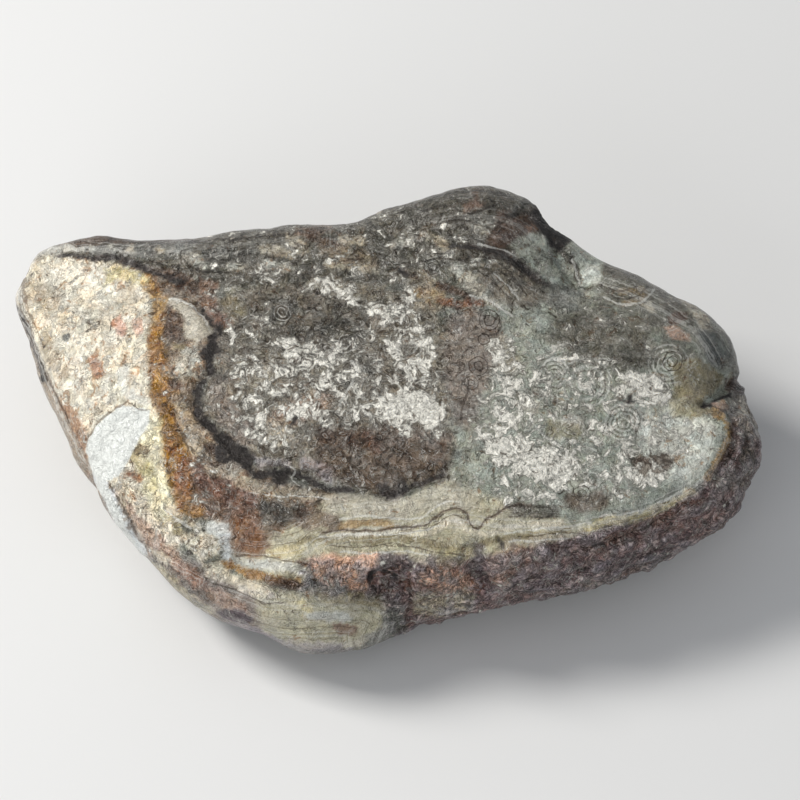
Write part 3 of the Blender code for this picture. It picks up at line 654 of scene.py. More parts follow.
# thin dark and thin pale lines: width, and a course or points in pixels
darkLines = {
    "patch outline": (1.1, (86, 440, 93, 430, 104, 416, 122, 405)),
    "patch top": (0.8, (122, 405, 130, 402, 140, 410, 150, 409)),
    "strip side": (1.2, "strip side"),
    "amber fissure": (1.6, "amber fissure"),
    "band dark": (1.0, "dark band"),
    "band under": (0.8, (400, 533, 424, 531, 436, 524, 447, 516, 456, 515, 464, 520)),
    "olive one": (0.9, (380, 545, 410, 547, 440, 553, 470, 556)),
    "olive two": (0.8, (330, 545, 360, 548, 390, 543, 420, 548)),
    "right bands one": (0.9, (520, 538, 545, 535, 566, 532, 584, 535)),
    "loop one": (1.1, (500, 512, 508, 506, 518, 505, 524, 510, 520, 516, 510, 517)),
    "loop two": (1.1, (528, 511, 536, 506, 546, 507, 552, 513, 544, 518, 534, 516)),
    "orb worm": (1.2, (476, 346, 466, 350, 462, 358)),
    "orb tail": (1.1, (468, 390, 463, 404, 461, 420)),
    "orb hook": (1.1, (496, 314, 500, 326, 494, 334, 482, 334)),
    "knob wave one": (1.1, (424, 214, 446, 208, 470, 214, 496, 206)),
    "knob wave two": (1.0, (440, 224, 462, 220, 484, 226, 506, 222)),
    "knob wave three": (1.0, (430, 200, 456, 196, 486, 194, 512, 202)),
    "under wave one": (1.0, (420, 262, 440, 258, 466, 262, 484, 276)),
    "under wave two": (0.9, (498, 262, 512, 274, 522, 290)),
    "far line one": (1.1, (130, 246, 180, 247, 230, 243, 290, 237)),
    "far line two": (0.9, (150, 262, 190, 270, 240, 274)),
    "rim line": (1.2, (17, 300, 24, 276, 40, 256, 70, 246, 110, 245)),
    "rim line left": (1.1, "rim line left"),
    "dot one": (3.6, (526, 245)),
    "dot two": (2.8, (540, 251)),
    "dot three": (2.2, (552, 258, 553, 264)),
    "dot four": (2.6, (537, 264)),
    "cleft line": (2.2, (558, 246, 566, 256, 574, 266, 578, 277)),
    "knob band": (1.8, (506, 217, 520, 214, 536, 216)),
    "under contour": (1.2, (468, 256, 488, 257, 506, 262, 522, 272)),
    "slope line": (1.0, (500, 270, 514, 282, 526, 296)),
    "slope line low": (1.0, (488, 276, 502, 290, 512, 300)),
    "lobe spot right": (2.2, (689, 319, 691, 326)),
    "rim inside": (1.6, (34, 272, 28, 286, 29, 308, 36, 330, 44, 346)),
    "rim middle": (1.2, (24, 296, 24, 312, 32, 334)),
    "pit crack": (1.6, (367, 578, 372, 586, 378, 592)),
    "fissure low": (2.0, (181, 430, 187, 445, 190, 460)),
    "lobe wave one": (1.0, (606, 292, 622, 300, 640, 296, 648, 288)),
    "lobe wave two": (0.9, (600, 286, 620, 292, 636, 290)),
    "lens line": (0.9, (236, 556, 262, 556, 290, 561, 316, 566)),
    "ledge line": (0.9, (214, 584, 240, 592, 262, 602, 284, 604)),
    "wall split": (1.0, "wall split"),
    "wall split low": (0.9, (508, 590, 520, 582, 544, 574)),
    "cortex line": (1.1, (706, 402, 716, 408, 724, 412)),
}

paleLines = {
    "middle curve": (1.3, (352, 362, 357, 370, 352, 384, 344, 396, 340, 404)),
    "ridge crown": (1.2, (470, 296, 490, 301, 512, 316)),
    "seam under": (0.8, (262, 494, 282, 497, 306, 496, 330, 500)),
    "seam worm": (0.9, (285, 465, 295, 470, 291, 478, 298, 486)),
    "peach curl": (1.0, (266, 431, 271, 436, 266, 443)),
    "band top": (1.0, (340, 519, 365, 516, 392, 518, 420, 519, 432, 509, 446, 501, 460, 502)),
    "band cream": (1.1, (320, 536, 350, 534, 386, 535, 420, 532, 440, 525)),
    "olive pale": (1.0, (340, 551, 370, 554, 400, 551, 430, 556)),
    "right pale": (1.0, (506, 534, 536, 530, 566, 526, 590, 522)),
    "right pale low": (1.0, (510, 542, 540, 541, 570, 538)),
    "crest edge": (1.2, (170, 300, 184, 302, 200, 314, 209, 330)),
    "arc one": (1.0, (544, 366, 552, 358, 562, 360, 568, 368)),
    "arc two": (1.0, (600, 372, 604, 386, 598, 398)),
    "shelf cream": (1.2, (166, 510, 178, 520, 190, 528)),
    "knob crown": (0.9, (478, 244, 500, 248, 516, 256)),
    "rim streak": (1.5, (27, 278, 23, 290, 24, 303)),
    "cleft pale": (1.0, (571, 260, 575, 270, 580, 282)),
    "slope pale": (1.0, (494, 273, 508, 286, 518, 300)),
    "lobe band": (1.2, (604, 297, 622, 305, 642, 302, 652, 294)),
    "ridge right": (1.0, (530, 420, 544, 436, 560, 446)),
    "edge cream": (1.1, (600, 516, 630, 514, 656, 504, 684, 490)),
}

# ringed spots: across, down, radius in pixels, and how many rings
darkEyes = {
    "ringed orb": (489, 320, 10, 2),
    "small orb": (484, 339, 6, 1),
    "twin left": (451, 367, 4.5, 1),
    "twin right": (459, 367, 5.5, 1),
    "flower": (478, 366, 9.5, 2),
    "lower orb": (471, 383, 7, 2),
    "knob ring": (517, 240, 6, 2),
    "tiny ring": (617, 492, 3.5, 1),
    "low ring": (582, 494, 8, 2),
    "slit ring": (432, 267, 8, 2),
    "grey spot ring": (673, 361, 10, 2),
}
paleEyes = {
    "first rings": (555, 375, 15, 4),
    "large rings": (586, 382, 24, 3),
    "low rings": (624, 422, 18, 4),
    "lobe rings": (668, 364, 20, 4),
    "halo": (592, 481, 8, 1),
    "left rings": (548, 400, 9, 2),
    "plateau ring": (282, 313, 8, 2),
    "plateau ring two": (346, 344, 9, 2),
    "plateau ring three": (410, 348, 12, 2),
}

# dips and rises in millimetres: height, half width in pixels, and a course or points
reliefs = {
    "seam lead": (-0.2, 4, (60, 256, 85, 255, 118, 260, 140, 267, 165, 275, 184, 285)),
    "seam upper": (-0.28, 3.5, (184, 285, 196, 302, 207, 320, 214, 342, 214, 356, 206, 374)),
    "seam": (-0.30, 4, (
        206, 374, 197, 387, 193, 402, 200, 416, 214, 429, 226, 442, 244, 460, 262, 472, 283, 476)),
    "seam far end": (-0.3, 4, (
        283, 474, 300, 477, 322, 487, 345, 490, 360, 485, 378, 490, 390, 498, 404, 490, 424, 484,
        446, 474)),
    "first ridge": (0.40, 13, (176, 306, 190, 318, 200, 334)),
    "second ridge": (0.42, 13, (180, 366, 194, 366)),
    "upper left corner": (0.95, 22, (16, 288, 25, 271, 40, 258)),
    "far outline": (0.55, 16, (
        60, 246, 137, 246, 220, 241, 301, 234, 345, 231, 411, 212, 461, 200, 491, 194, 520, 200)),
    "right outline": (0.60, 15, (
        535, 212, 560, 236, 584, 252, 608, 270, 640, 284, 674, 302, 708, 326, 728, 350, 734, 378)),
    "left outline": (-0.35, 12, (24, 330, 44, 384, 66, 440)),
    "lower left outline": (-0.35, 14, (130, 560, 160, 590, 200, 620, 250, 642)),
    "front outline": (0.60, 12, (366, 652, 388, 644, 404, 634)),
    "front dent": (-0.40, 8, (486, 608, 500, 604)),
    "right front dent": (-0.40, 9, (634, 577, 660, 566)),
    "nick notch": (-0.50, 5, (734, 386, 744, 382)),
    "right front outline": (0.35, 12, (690, 548, 715, 532, 735, 512)),
    "third ridge": (0.28, 6, (
        180, 402, 186, 416, 200, 428, 216, 444, 240, 470, 262, 484, 300, 492, 330, 498)),
    "pale strip": (0.15, 6, "pale strip"),
    "strip side": (-0.25, 3, "strip side"),
    "knob cleft": (-0.6, 6, (520, 214, 540, 226, 552, 240, 562, 262, 572, 280)),
    "knob line": (-0.3, 4, "knob line"),
    "crack": (-0.6, 4, (703, 404, 715, 397, 724, 389, 730, 382, 741, 380)),
    "slit": (-0.3, 4, "slit"),
    "slit stone": (0.25, 8, "slit stone"),
    "orange band": (-0.08, 4, "orange band"),
    "dark band": (-0.10, 3, "dark band"),
    "brown line": (-0.25, 5, "brown line"),
    "pit": (-0.6, 3.5, (372, 575, 384, 574, 396, 579)),
    "pit right": (-0.6, 5, (404, 584, 408, 600, 408, 614)),
    "wall split": (-0.5, 5, "wall split"),
    "wall valley": (-0.5, 9, "wall valley"),
    "wall notch": (-0.4, 4, "wall notch"),
    "rim line left": (-0.12, 3, "rim line left"),
    "amber fissure": (-0.25, 4, "amber fissure"),
    "under plateau": (-0.3, 10, (386, 492, 404, 486, 446, 474)),
    "dark spot": (-0.3, 4, (627, 401)),
    "lobe spot": (-0.25, 8, (672, 318, 682, 320)),
    "rim step": (-0.5, 5, (732, 412, 736, 430, 732, 450, 716, 476)),
}

# how the markings stray from their courses and corners
stray = {
    "wander": ((0.9, 3.2), (1.2, 1.1), (1.0, 0.5)),  # pixels, and the width of the wandering in millimetres
    "jitter": 0.7,  # pixels, each point by itself
    "fray": ((2.8, 1.5), (2.6, 0.6)),  # pixels, and the width of the fraying in millimetres
    "fullFrayArea": 6.0,  # from this softness of its edge on an area frays in full
    "fullFrayStroke": 5.0,  # and from this half width on a stroke
    "strokeEdge": 0.55,  # a stroke's edge beside its softness
}
crispPaints = ("black", "milk")  # their patches get ragged edges of their own
crispSoftness = 4  # where the patch isn't softer than this
farOff = 40.0  # pixels or widths: where the fields of edges, lines and rings end

# the grain where no paint brings its own: white chalk, black ink, rust, pale lace, small rings, mottling,
# gloss, and the broken coarseness of the walls
restingGrain = {
    "chalk": 0.22,
    "ink": 0.35,
    "stain": 0.10,
    "wisp": 0.30,
    "rings": 0.0,
    "mottle": 0.9,
    "gloss": 0.4,
    "coarse": 0.15,
}


def curved(points):
    # a smooth course through the given corners
    rows = np.array(points, float).reshape(-1, 2)
    if len(rows) < 3:
        return rows
    ends = np.vstack((2 * rows[0] - rows[1], rows, 2 * rows[-1] - rows[-2]))
    course = []
    for before, start, end, after in zip(ends, ends[1:], ends[2:], ends[3:]):
        for share in (0.0, 1.0 / 3.0, 2.0 / 3.0):
            course.append(0.5 * (2 * start + (end - before) * share
                                 + (2 * before - 5 * start + 4 * end - after) * share ** 2
                                 + (3 * start - before - 3 * end + after) * share ** 3))
    return np.vstack((course, rows[-1:]))


def courseOf(given):
    return curved(courses[given] if isinstance(given, str) else given)


def wayTo(at, corners):
    # from each place the way to the nearest point of a course, and how far it is
    if len(corners) == 1:
        way = corners[0] - at
        return way, np.hypot(way[:, 0], way[:, 1])
    nearest = np.full(len(at), np.inf)
    way = np.zeros((len(at), 2))
    for start, end in zip(corners, corners[1:]):
        along = end - start
        share = np.clip((at - start) @ along / (along @ along), 0.0, 1.0)
        offset = start + share[:, None] * along - at
        away = np.hypot(offset[:, 0], offset[:, 1])
        nearer = away < nearest
        nearest[nearer] = away[nearer]
        way[nearer] = offset[nearer]
    return way, nearest


def insideOf(at, corners):
    inside = np.zeros(len(at), bool)
    for start, end in zip(corners, np.roll(corners, -1, 0)):
        crosses = (start[1] > at[:, 1]) != (end[1] > at[:, 1])
        rise = end[1] - start[1] if end[1] != start[1] else 1.0
        inside ^= crosses & (at[:, 0] < start[0] + (at[:, 1] - start[1]) * (end[0] - start[0]) / rise)
    return inside


def edgeOf(at, given):
    # how far each place is outside an area, in pixels, and below nought inside it
    corners = np.array(fields[given][-1] if isinstance(given, str) else given, float).reshape(-1, 2)
    outline = np.vstack((corners, corners[:1]))
    return wayTo(at, outline)[1] * np.where(insideOf(at, corners), -1.0, 1.0)


def eased(share):
    share = np.clip(share, 0.0, 1.0)
    return share * share * (3.0 - 2.0 * share)


def noiseAt(places, width, start):
    # smooth noise round nought, its bumps as wide as given in millimetres
    scaled = places * (1000.0 / width) + start
    return np.array([noise.noise(place) for place in scaled.tolist()])


def driftAt(places, width, start):
    # the same with a value for each way
    scaled = places * (1000.0 / width) + start
    return np.array([noise.noise_vector(place) for place in scaled.tolist()])


def linear(colour):
    # a colour as the shader wants it
    share = np.asarray(colour, float) / 255.0
    return np.where(share <= 0.04045, share / 12.92, ((share + 0.055) / 1.055) ** 2.4)


places = placesOf(stone.data)
normals = normalsOf(stone.data)
facing = normals @ viewBack
courseAt = pixelsOf(places)
for number, (reach, width) in enumerate(stray["wander"]):
    courseAt += reach * driftAt(places, width, 10.0 * number)[:, :2]
seeded = np.random.default_rng(7)
at = courseAt + seeded.uniform(-stray["jitter"], stray["jitter"], courseAt.shape)
frayed = sum(reach * noiseAt(places, width, 60.0 + reach) for reach, width in stray["fray"])
print("markings laid out")

tones = {name: np.array(tone, float) for name, tone in palette.items()}
pigment = np.tile(tones["greenGrey"], (len(places), 1))
grain = {name: np.full(len(places), value) for name, value in restingGrain.items()}


def paint(what, amount, cover):
    # cover says for each place how much of the paint falls there; a paint may be a grain too
    if what not in tones:
        grain[what] += (amount - grain[what]) * cover
        return
    pigment[:] += (tones[what] - pigment) * (amount * cover)[:, None]
    for name, brought in paintGrain.get(what, {}).items():
        grain[name] += (brought - grain[name]) * amount * cover


def paintAreas(areas):
    for what, amount, softness, corners in areas.values():
        edge = edgeOf(at, corners) + frayed * min(1.0, softness / stray["fullFrayArea"])
        paint(what, amount, eased(0.5 - edge / softness))


def paintStrokes():
    for what, amount, halfWidth, softness, course in strokes.values():
        edge = wayTo(at, courseOf(course))[1] - halfWidth
        edge = edge + frayed * min(1.0, halfWidth / stray["fullFrayStroke"])
        paint(what, amount, eased(0.5 - edge / (stray["strokeEdge"] * softness)))


paintAreas(fields)
paintStrokes()
paintAreas(patches)
print("markings painted")

# away from the camera the rind takes over: where it shows, and its colours and grain
rind = {
    "fades": (-0.50, -0.12),  # how a point faces the camera, from all rind to none
    "far wall": ("olive", {"chalk": 0.46, "ink": 0.4, "coarse": 0.45}),
    "underside": ("mauve", {"chalk": 0.3, "ink": 0.5, "coarse": 0.8}),
    "left end": ("tan", {"chalk": 0.4, "ink": 0.45, "coarse": 0.4}),
    "right end": ("plum", {"chalk": 0.35, "ink": 0.5, "coarse": 0.7}),
    "opacity": 0.95,
    "unevenWidth": 9.0,  # millimetres, of the bays where one side's rind gives way to the next
    "undersideTop": 6.0,  # millimetres
    "endsFrom": 30.0,  # millimetres left and right of the middle
    "endsEdge": 8.0,
    # tone, amount, width in millimetres, and the least noise that makes a blot
    "blots": (("greyOlive", 0.55, 13.0, 0.05), ("redBrown", 0.45, 10.0, 0.15)),
    "blotEdge": 0.25,
}

# the thin layers of the rind and of the front
layering = {
    "onRind": 0.55,  # how plainly they show there
    "perHeight": 8000.0,  # as many pixels deep is a metre of the rind's height
    "waves": (30.0, 14.0, 71.0),  # pixels, their width in millimetres, and where the noise starts
    "patches": (10.0, 73.0),
    "calm": 0.6,  # how far the layers take back the other grains
}

# the broken walls: their chunks and knobs, each width in millimetres and where its noise starts
walls = {
    "chunks": (3.0, 31.0),
    "smallChunks": (1.4, 37.0),
    "smallShare": 0.6,
    "knobs": (1.9, 41.0),
    "smallKnobs": (0.9, 43.0),
    "smallKnobShare": 0.7,
    "gap": 0.22,  # below this a chunk ends in a gap, darkened with painted shade
    "gapShadePaint": ("bruise", 0.6),
    "crestHighlightPaint": ("lilac", 0.6),
    "crest": (0.35, 0.28, 0.22),  # the crest that gets the painted highlight: the knobs' share in it, where it starts, and its edge
}


def paintRind():
    seen = eased((facing - rind["fades"][0]) / (rind["fades"][1] - rind["fades"][0]))
    uneven = noiseAt(places, rind["unevenWidth"], 3.0)
    mm = places * 1000.0
    top, ends, edge = rind["undersideTop"], rind["endsFrom"], rind["endsEdge"]
    shares = {
        "far wall": np.ones(len(places)),
        "underside": eased((top - mm[:, 2] + top * uneven) / top),
        "left end": eased((-ends - mm[:, 0] + edge * uneven) / edge),
        "right end": eased((mm[:, 0] - ends + edge * uneven) / edge),
    }
    for name, share in shares.items():
        tone, feel = rind[name]
        cover = share * (1.0 - seen)
        paint(tone, rind["opacity"], cover)
        for what, amount in feel.items():
            paint(what, amount, cover)
    for tone, amount, width, least in rind["blots"]:
        above = noiseAt(places, width, 75.0 + width) - least
        paint(tone, amount, (1.0 - seen) * eased(above / rind["blotEdge"]))
    return seen


def paintWallShadeAndHighlights():
    knobShare, least, edge = walls["crest"]
    # painted shade in the gaps where the chunks sink, and painted highlights on the crests where they rise
    paint(*walls["gapShadePaint"], grain["coarse"] * (1.0 - eased(chunks / walls["gap"])))
    paint(*walls["crestHighlightPaint"], grain["coarse"] * eased((chunks + knobShare * knobs - least) / edge))


def layersAt():
    # how deep each place lies in the layers, in pixels, and how plainly they show there
    depth = np.full(len(places), np.inf)
    for course in layerCourses.values():
        depth = np.minimum(depth, wayTo(courseAt, courseOf(course))[1])
    plain = np.zeros(len(places))
    for amount, halfWidth, softness, course in layerStrength.values():
        edge = wayTo(at, courseOf(course))[1] - halfWidth
        plain = np.maximum(plain, amount * seen * eased(0.5 - edge / softness))
    behind = eased(0.5 + noiseAt(places, *layering["patches"])) * (1.0 - seen)
    waves, width, start = layering["waves"]
    height = places[:, 2] * layering["perHeight"] + waves * noiseAt(places, width, start)
    depth = np.where(hidden, height, depth)
    return depth, np.maximum(plain, layering["onRind"] * behind * hidden)


seen = paintRind()
hidden = seen < 0.5
chunks = np.abs(noiseAt(places, *walls["chunks"]))
chunks = chunks + walls["smallShare"] * np.abs(noiseAt(places, *walls["smallChunks"]))
knobs = noiseAt(places, *walls["knobs"]) + walls["smallKnobShare"] * noiseAt(places, *walls["smallKnobs"])
paintWallShadeAndHighlights()
layerDepth, layered = layersAt()
for name in ("chalk", "ink", "wisp", "mottle", "stain"):
    grain[name] *= 1.0 - layering["calm"] * layered
print("rind painted, layers laid")


def edgeField():
    # how far each place is outside the black patches and outside the milky ones, in pixels; the third
    # column stays as it is
    field = np.full((len(places), 3), farOff)
    for what, amount, softness, corners in patches.values():
        if what in crispPaints and softness <= crispSoftness:
            channel = crispPaints.index(what)
            field[:, channel] = np.minimum(field[:, channel], edgeOf(courseAt, corners))
    field[hidden] = farOff
    return field


def nearestOf(ways):
    # the way to the nearest of some marks, and how far that one is
    field = np.full((len(places), 3), farOff)
    for way, away in ways:
        nearer = away < field[:, 2]
        field[nearer, :2] = way[nearer]
        field[nearer, 2] = away[nearer]
    field[hidden] = farOff
    return field


def waysToLines(lines):
    # the way in widths of the line, and its length in pixels
    for width, course in lines.values():
        way, away = wayTo(courseAt, courseOf(course))
        yield way / width, away


def waysToEyes(eyes):
    # the way with one unit for each ring, and its length in radii
    for across, down, radius, rings in eyes.values():
        way = (np.array((across, down)) - courseAt) / radius
        yield way * rings, np.hypot(way[:, 0], way[:, 1])


def addField(name, kind, values):
    attribute = stone.data.attributes.new(name, kind, "POINT")
    attribute.data.foreach_set("color" if kind == "FLOAT_COLOR" else "vector", values.ravel())


addField("pigment", "FLOAT_COLOR", np.hstack((linear(pigment), grain["stain"][:, None])))
addField("clouding", "FLOAT_VECTOR", np.stack((grain["chalk"], grain["ink"], grain["wisp"]), 1))
addField("texture", "FLOAT_VECTOR", np.stack((grain["rings"], grain["mottle"], grain["gloss"]), 1))
addField("layers", "FLOAT_VECTOR", np.stack((layerDepth, layered, grain["coarse"]), 1))
addField("edges", "FLOAT_VECTOR", edgeField())
addField("darkLines", "FLOAT_VECTOR", nearestOf(waysToLines(darkLines)))
addField("paleLines", "FLOAT_VECTOR", nearestOf(waysToLines(paleLines)))
addField("darkEyes", "FLOAT_VECTOR", nearestOf(waysToEyes(darkEyes)))
addField("paleEyes", "FLOAT_VECTOR", nearestOf(waysToEyes(paleEyes)))
print("lines and rings laid")


# the flat map that the stone's pictures are baked on: left, bottom, right and top of its two halves
halves = {"front": (0.01, 0.41, 0.99, 0.99), "back": (0.01, 0.01, 0.99, 0.38)}
halving = {
    "axis": (0.0, -0.447, 0.894),  # the middle of the front half, in the stone's own proportions
    "reach": 100.0,  # degrees from there to where the halves meet
    "margin": 5.0,
}


def layOutMap():
    low, high = places.min(0), places.max(0)
    ways = (places - (low + high) / 2.0) / (high - low)
    ways /= np.linalg.norm(ways, axis=1)[:, None]
    axis = np.array(halving["axis"])
    upward = np.array((0.0, axis[2], -axis[1]))
    away = np.degrees(np.arccos(np.clip(ways @ axis, -1.0, 1.0)))
    turn = np.arctan2(ways @ upward, ways[:, 0])
    flat = {
        "front": away / (halving["reach"] + halving["margin"]) * np.stack((np.cos(turn), np.sin(turn))),
        "back": ((180.0 - away) / (180.0 - halving["reach"] + halving["margin"])
                 * np.stack((-np.cos(turn), np.sin(turn)))),
    }
    corner = np.empty(len(stone.data.loops), int)
    stone.data.loops.foreach_get("vertex_index", corner)
    sides = np.empty(len(stone.data.polygons), int)
    stone.data.polygons.foreach_get("loop_total", sides)
    face = np.repeat(np.arange(len(sides)), sides)
    reach = np.bincount(face, away[corner]) / sides
    inFront = (reach < halving["reach"])[face]
    spots = np.empty((len(corner), 2))
    for name, chosen in (("front", inFront), ("back", ~inFront)):
        left, bottom, right, top = halves[name]
        across, up = flat[name][:, corner[chosen]]
        spots[chosen, 0] = (left + right) / 2.0 + (right - left) / 2.0 * across
        spots[chosen, 1] = (bottom + top) / 2.0 + (top - bottom) / 2.0 * up
    following = np.where(np.append(face[1:], -1) == face, np.arange(len(face)) + 1,
                         np.cumsum(sides)[face] - sides[face])
    beyond = spots[following]
    area = np.bincount(face, spots[:, 0] * beyond[:, 1] - spots[:, 1] * beyond[:, 0])
    print("map laid out,", int((area <= 0.0).sum()), "faces turned over")
    stone.data.uv_layers.new(name="OFBake").uv.foreach_set("vector", spots.ravel())


layOutMap()


# the small relief everywhere, in millimetres; a swell is its height, its width and where its noise starts
smallRelief = {
    "chunks": 0.52,
    "knobs": 0.24,
    "swells": ((0.15, 4.5, 47.0), (0.11, 1.7, 53.0)),
    "fine": (0.06, 0.8, 59.0),
    "wallsCalm": 0.6,  # how much less the broken walls swell
    "flatBelow": 0.0004,  # metres: there the stone rests on its flat
}


def raiseRelief():
    rise = np.zeros(len(places))
    for height, halfWidth, course in reliefs.values():
        away = wayTo(courseAt, courseOf(course))[1]
        rise += height * np.exp(-(away / halfWidth) ** 2) * seen
    coarse = grain["coarse"]
    rise += coarse * (smallRelief["chunks"] * (chunks - walls["gap"]) + smallRelief["knobs"] * knobs)
    swell = sum(height * noiseAt(places, width, start) for height, width, start in smallRelief["swells"])
    height, width, start = smallRelief["fine"]
    fine = height * noiseAt(places, width, start) * grain["mottle"]
    rise += (1.0 - smallRelief["wallsCalm"] * coarse) * swell + fine
    flat = places[:, 2] < smallRelief["flatBelow"]
    rise[flat] = np.minimum(rise[flat], 0.0)
    moved = places + normals * (rise * 0.001)[:, None]
    moved[flat, 2] = places[flat, 2]
    moved[:, 2] = np.maximum(moved[:, 2], 0.0)
    stone.data.vertices.foreach_set("co", moved.ravel())
    stone.data.update()


raiseRelief()
print("relief raised")


class Strand:
    # an output of a node, so that sums on it are written as sums
    def __init__(self, tree, socket=None):
        self.tree = tree
        self.socket = socket

    def node(self, kind, settings, values, output=0):
        made = self.tree.nodes.new("ShaderNode" + kind)
        for name, setting in settings.items():
            setattr(made, name, setting)
        for name, value in values.items():
            if isinstance(value, Strand):
                self.tree.links.new(value.socket, made.inputs[name])
            else:
                made.inputs[name].default_value = value
        return Strand(self.tree, made.outputs[output])

    def also(self, output):
        # another output of the same node
        return Strand(self.tree, self.socket.node.outputs[output])

    def sum(self, operation, *others):
        # one step of maths with this value first
        values = dict(enumerate((self, *others)))
        return self.node("Math", {"operation": operation}, values)

    def __add__(self, other):
        return self.sum("ADD", other)

    def __radd__(self, other):
        return self.sum("ADD", other)

    def __mul__(self, other):
        return self.sum("MULTIPLY", other)

    def __sub__(self, other):
        return self.sum("SUBTRACT", other)

    def __rsub__(self, other):
        return (self * -1.0) + other

    def __abs__(self):
        return self.sum("ABSOLUTE")

    def step(self, low, high):
        # eases from nought at low to one at high
        return self.node("MapRange", {"interpolation_type": "SMOOTHSTEP"},
                         {0: self, 1: low, 2: high, 3: 0.0, 4: 1.0})

    def blend(self, other, share, way="MIX"):
        # this colour with the other laid over it
        return self.node("Mix", {"data_type": "RGBA", "blend_type": way}, {0: share, 6: self, 7: other}, 2)


# the surface's noises: bumps per millimetre, detail, roughness, where it starts in millimetres, distortion,
# and whether the swirl bends it
noises = {
    "cloud": (0.28, 3.0, 0.6, 0.0, 0.0, False),
    "blotch": (0.80, 3.0, 0.6, 11.0, 0.0, True),
    "speck": (2.4, 2.0, 0.6, 17.0, 0.0, False),
    "shard": (1.3, 4.0, 0.65, 71.0, 0.6, True),
    "warmth": (0.5, 3.0, 0.65, 23.0, 0.0, False),
    "tint": (0.50, 3.0, 0.55, 97.0, 0.0, True),
    "curl": (0.9, 2.0, 0.5, 37.0, 0.0, True),
    "cracklePatch": (0.5, 2.0, 0.5, 13.0, 0.0, False),
    "curlPatch": (0.55, 3.0, 0.6, 91.0, 0.0, False),
    "rust": (0.8, 4.0, 0.6, 61.0, 0.7, False),
    "clot": (0.70, 6.0, 0.68, 31.0, 0.0, True),
    "crumb": (2.2, 3.0, 0.65, 83.0, 0.0, True),
    "lacePatch": (0.35, 3.0, 0.6, 41.0, 0.0, False),
    "pepper": (1.0, 4.0, 0.60, 43.0, 0.0, True),
    "worm": (1.0, 2.0, 0.5, 47.0, 0.0, True),
    "wormPatch": (0.5, 3.0, 0.6, 53.0, 0.0, False),
}

# the other grains, and the tones that all of them bring out
grains = {
    "swirl": 0.45,  # bumps per millimetre
    "swirlReach": 3.0,  # millimetres
    "cell": 0.80,  # to the millimetre
    "layer": 0.050,  # for each pixel of depth
    "chalkTone": (0.95, 0.92, 0.82, 1.0),
    "inkTone": (0.20, 0.155, 0.12, 1.0),
    "coolTint": (0.95, 1.0, 0.98, 1.0),
    "warmTint": (1.0, 0.92, 0.78, 1.0),
    "darkTone": (0.026, 0.020, 0.017, 1.0),
    "stainTint": (0.62, 0.44, 0.32, 1.0),
    "laceTone": (0.84, 0.83, 0.77, 1.0),
    "milkTone": (0.76, 0.78, 0.74, 1.0),
    # the tone of the painted highlights on the walls' crests
    "crestHighlightTone": (0.90, 0.74, 0.66, 1.0),
    "flakeTurn": (0.0, -0.6, 0.0),  # how the walls' flakes lie
    "flakeLength": (1.9, 0.9, 0.8),  # and how long they are each way
    "bumpDepth": 0.00050,  # metres
    "roughness": 0.20,
}

# how strongly each kind of marking shows, from nought to one
strengths = {
    "tints": 0.8,
    "crackle": 0.75,
    # painted shade in the walls' cracks and painted highlights on their crests
    "wallCrackShade": 0.88,
    "wallCrestHighlights": 0.46,
    "darkCurls": 0.60,
    "paleCurls": 0.30,
    "cellRings": 0.7,
    "cellInnerRings": 0.35,
    "darkLayers": 0.6,
    "paleLayers": 0.45,
    "rust": 0.9,
    "chalkOutline": 0.35,
    "chalkHaze": 0.22,
    "chalk": 0.80,
    "lace": 0.45,
    "inkShade": 0.26,
    "ink": 0.55,
    "blackPatches": 0.96,
    "pebbles": 0.72,  # taken from the black patches
    "milkyPatches": 0.8,
    "paleEyes": 0.5,
    "paleEyeGaps": 0.6,
    "darkEyes": 0.9,
    "darkLines": 0.66,
    "paleLines": 0.5,
}


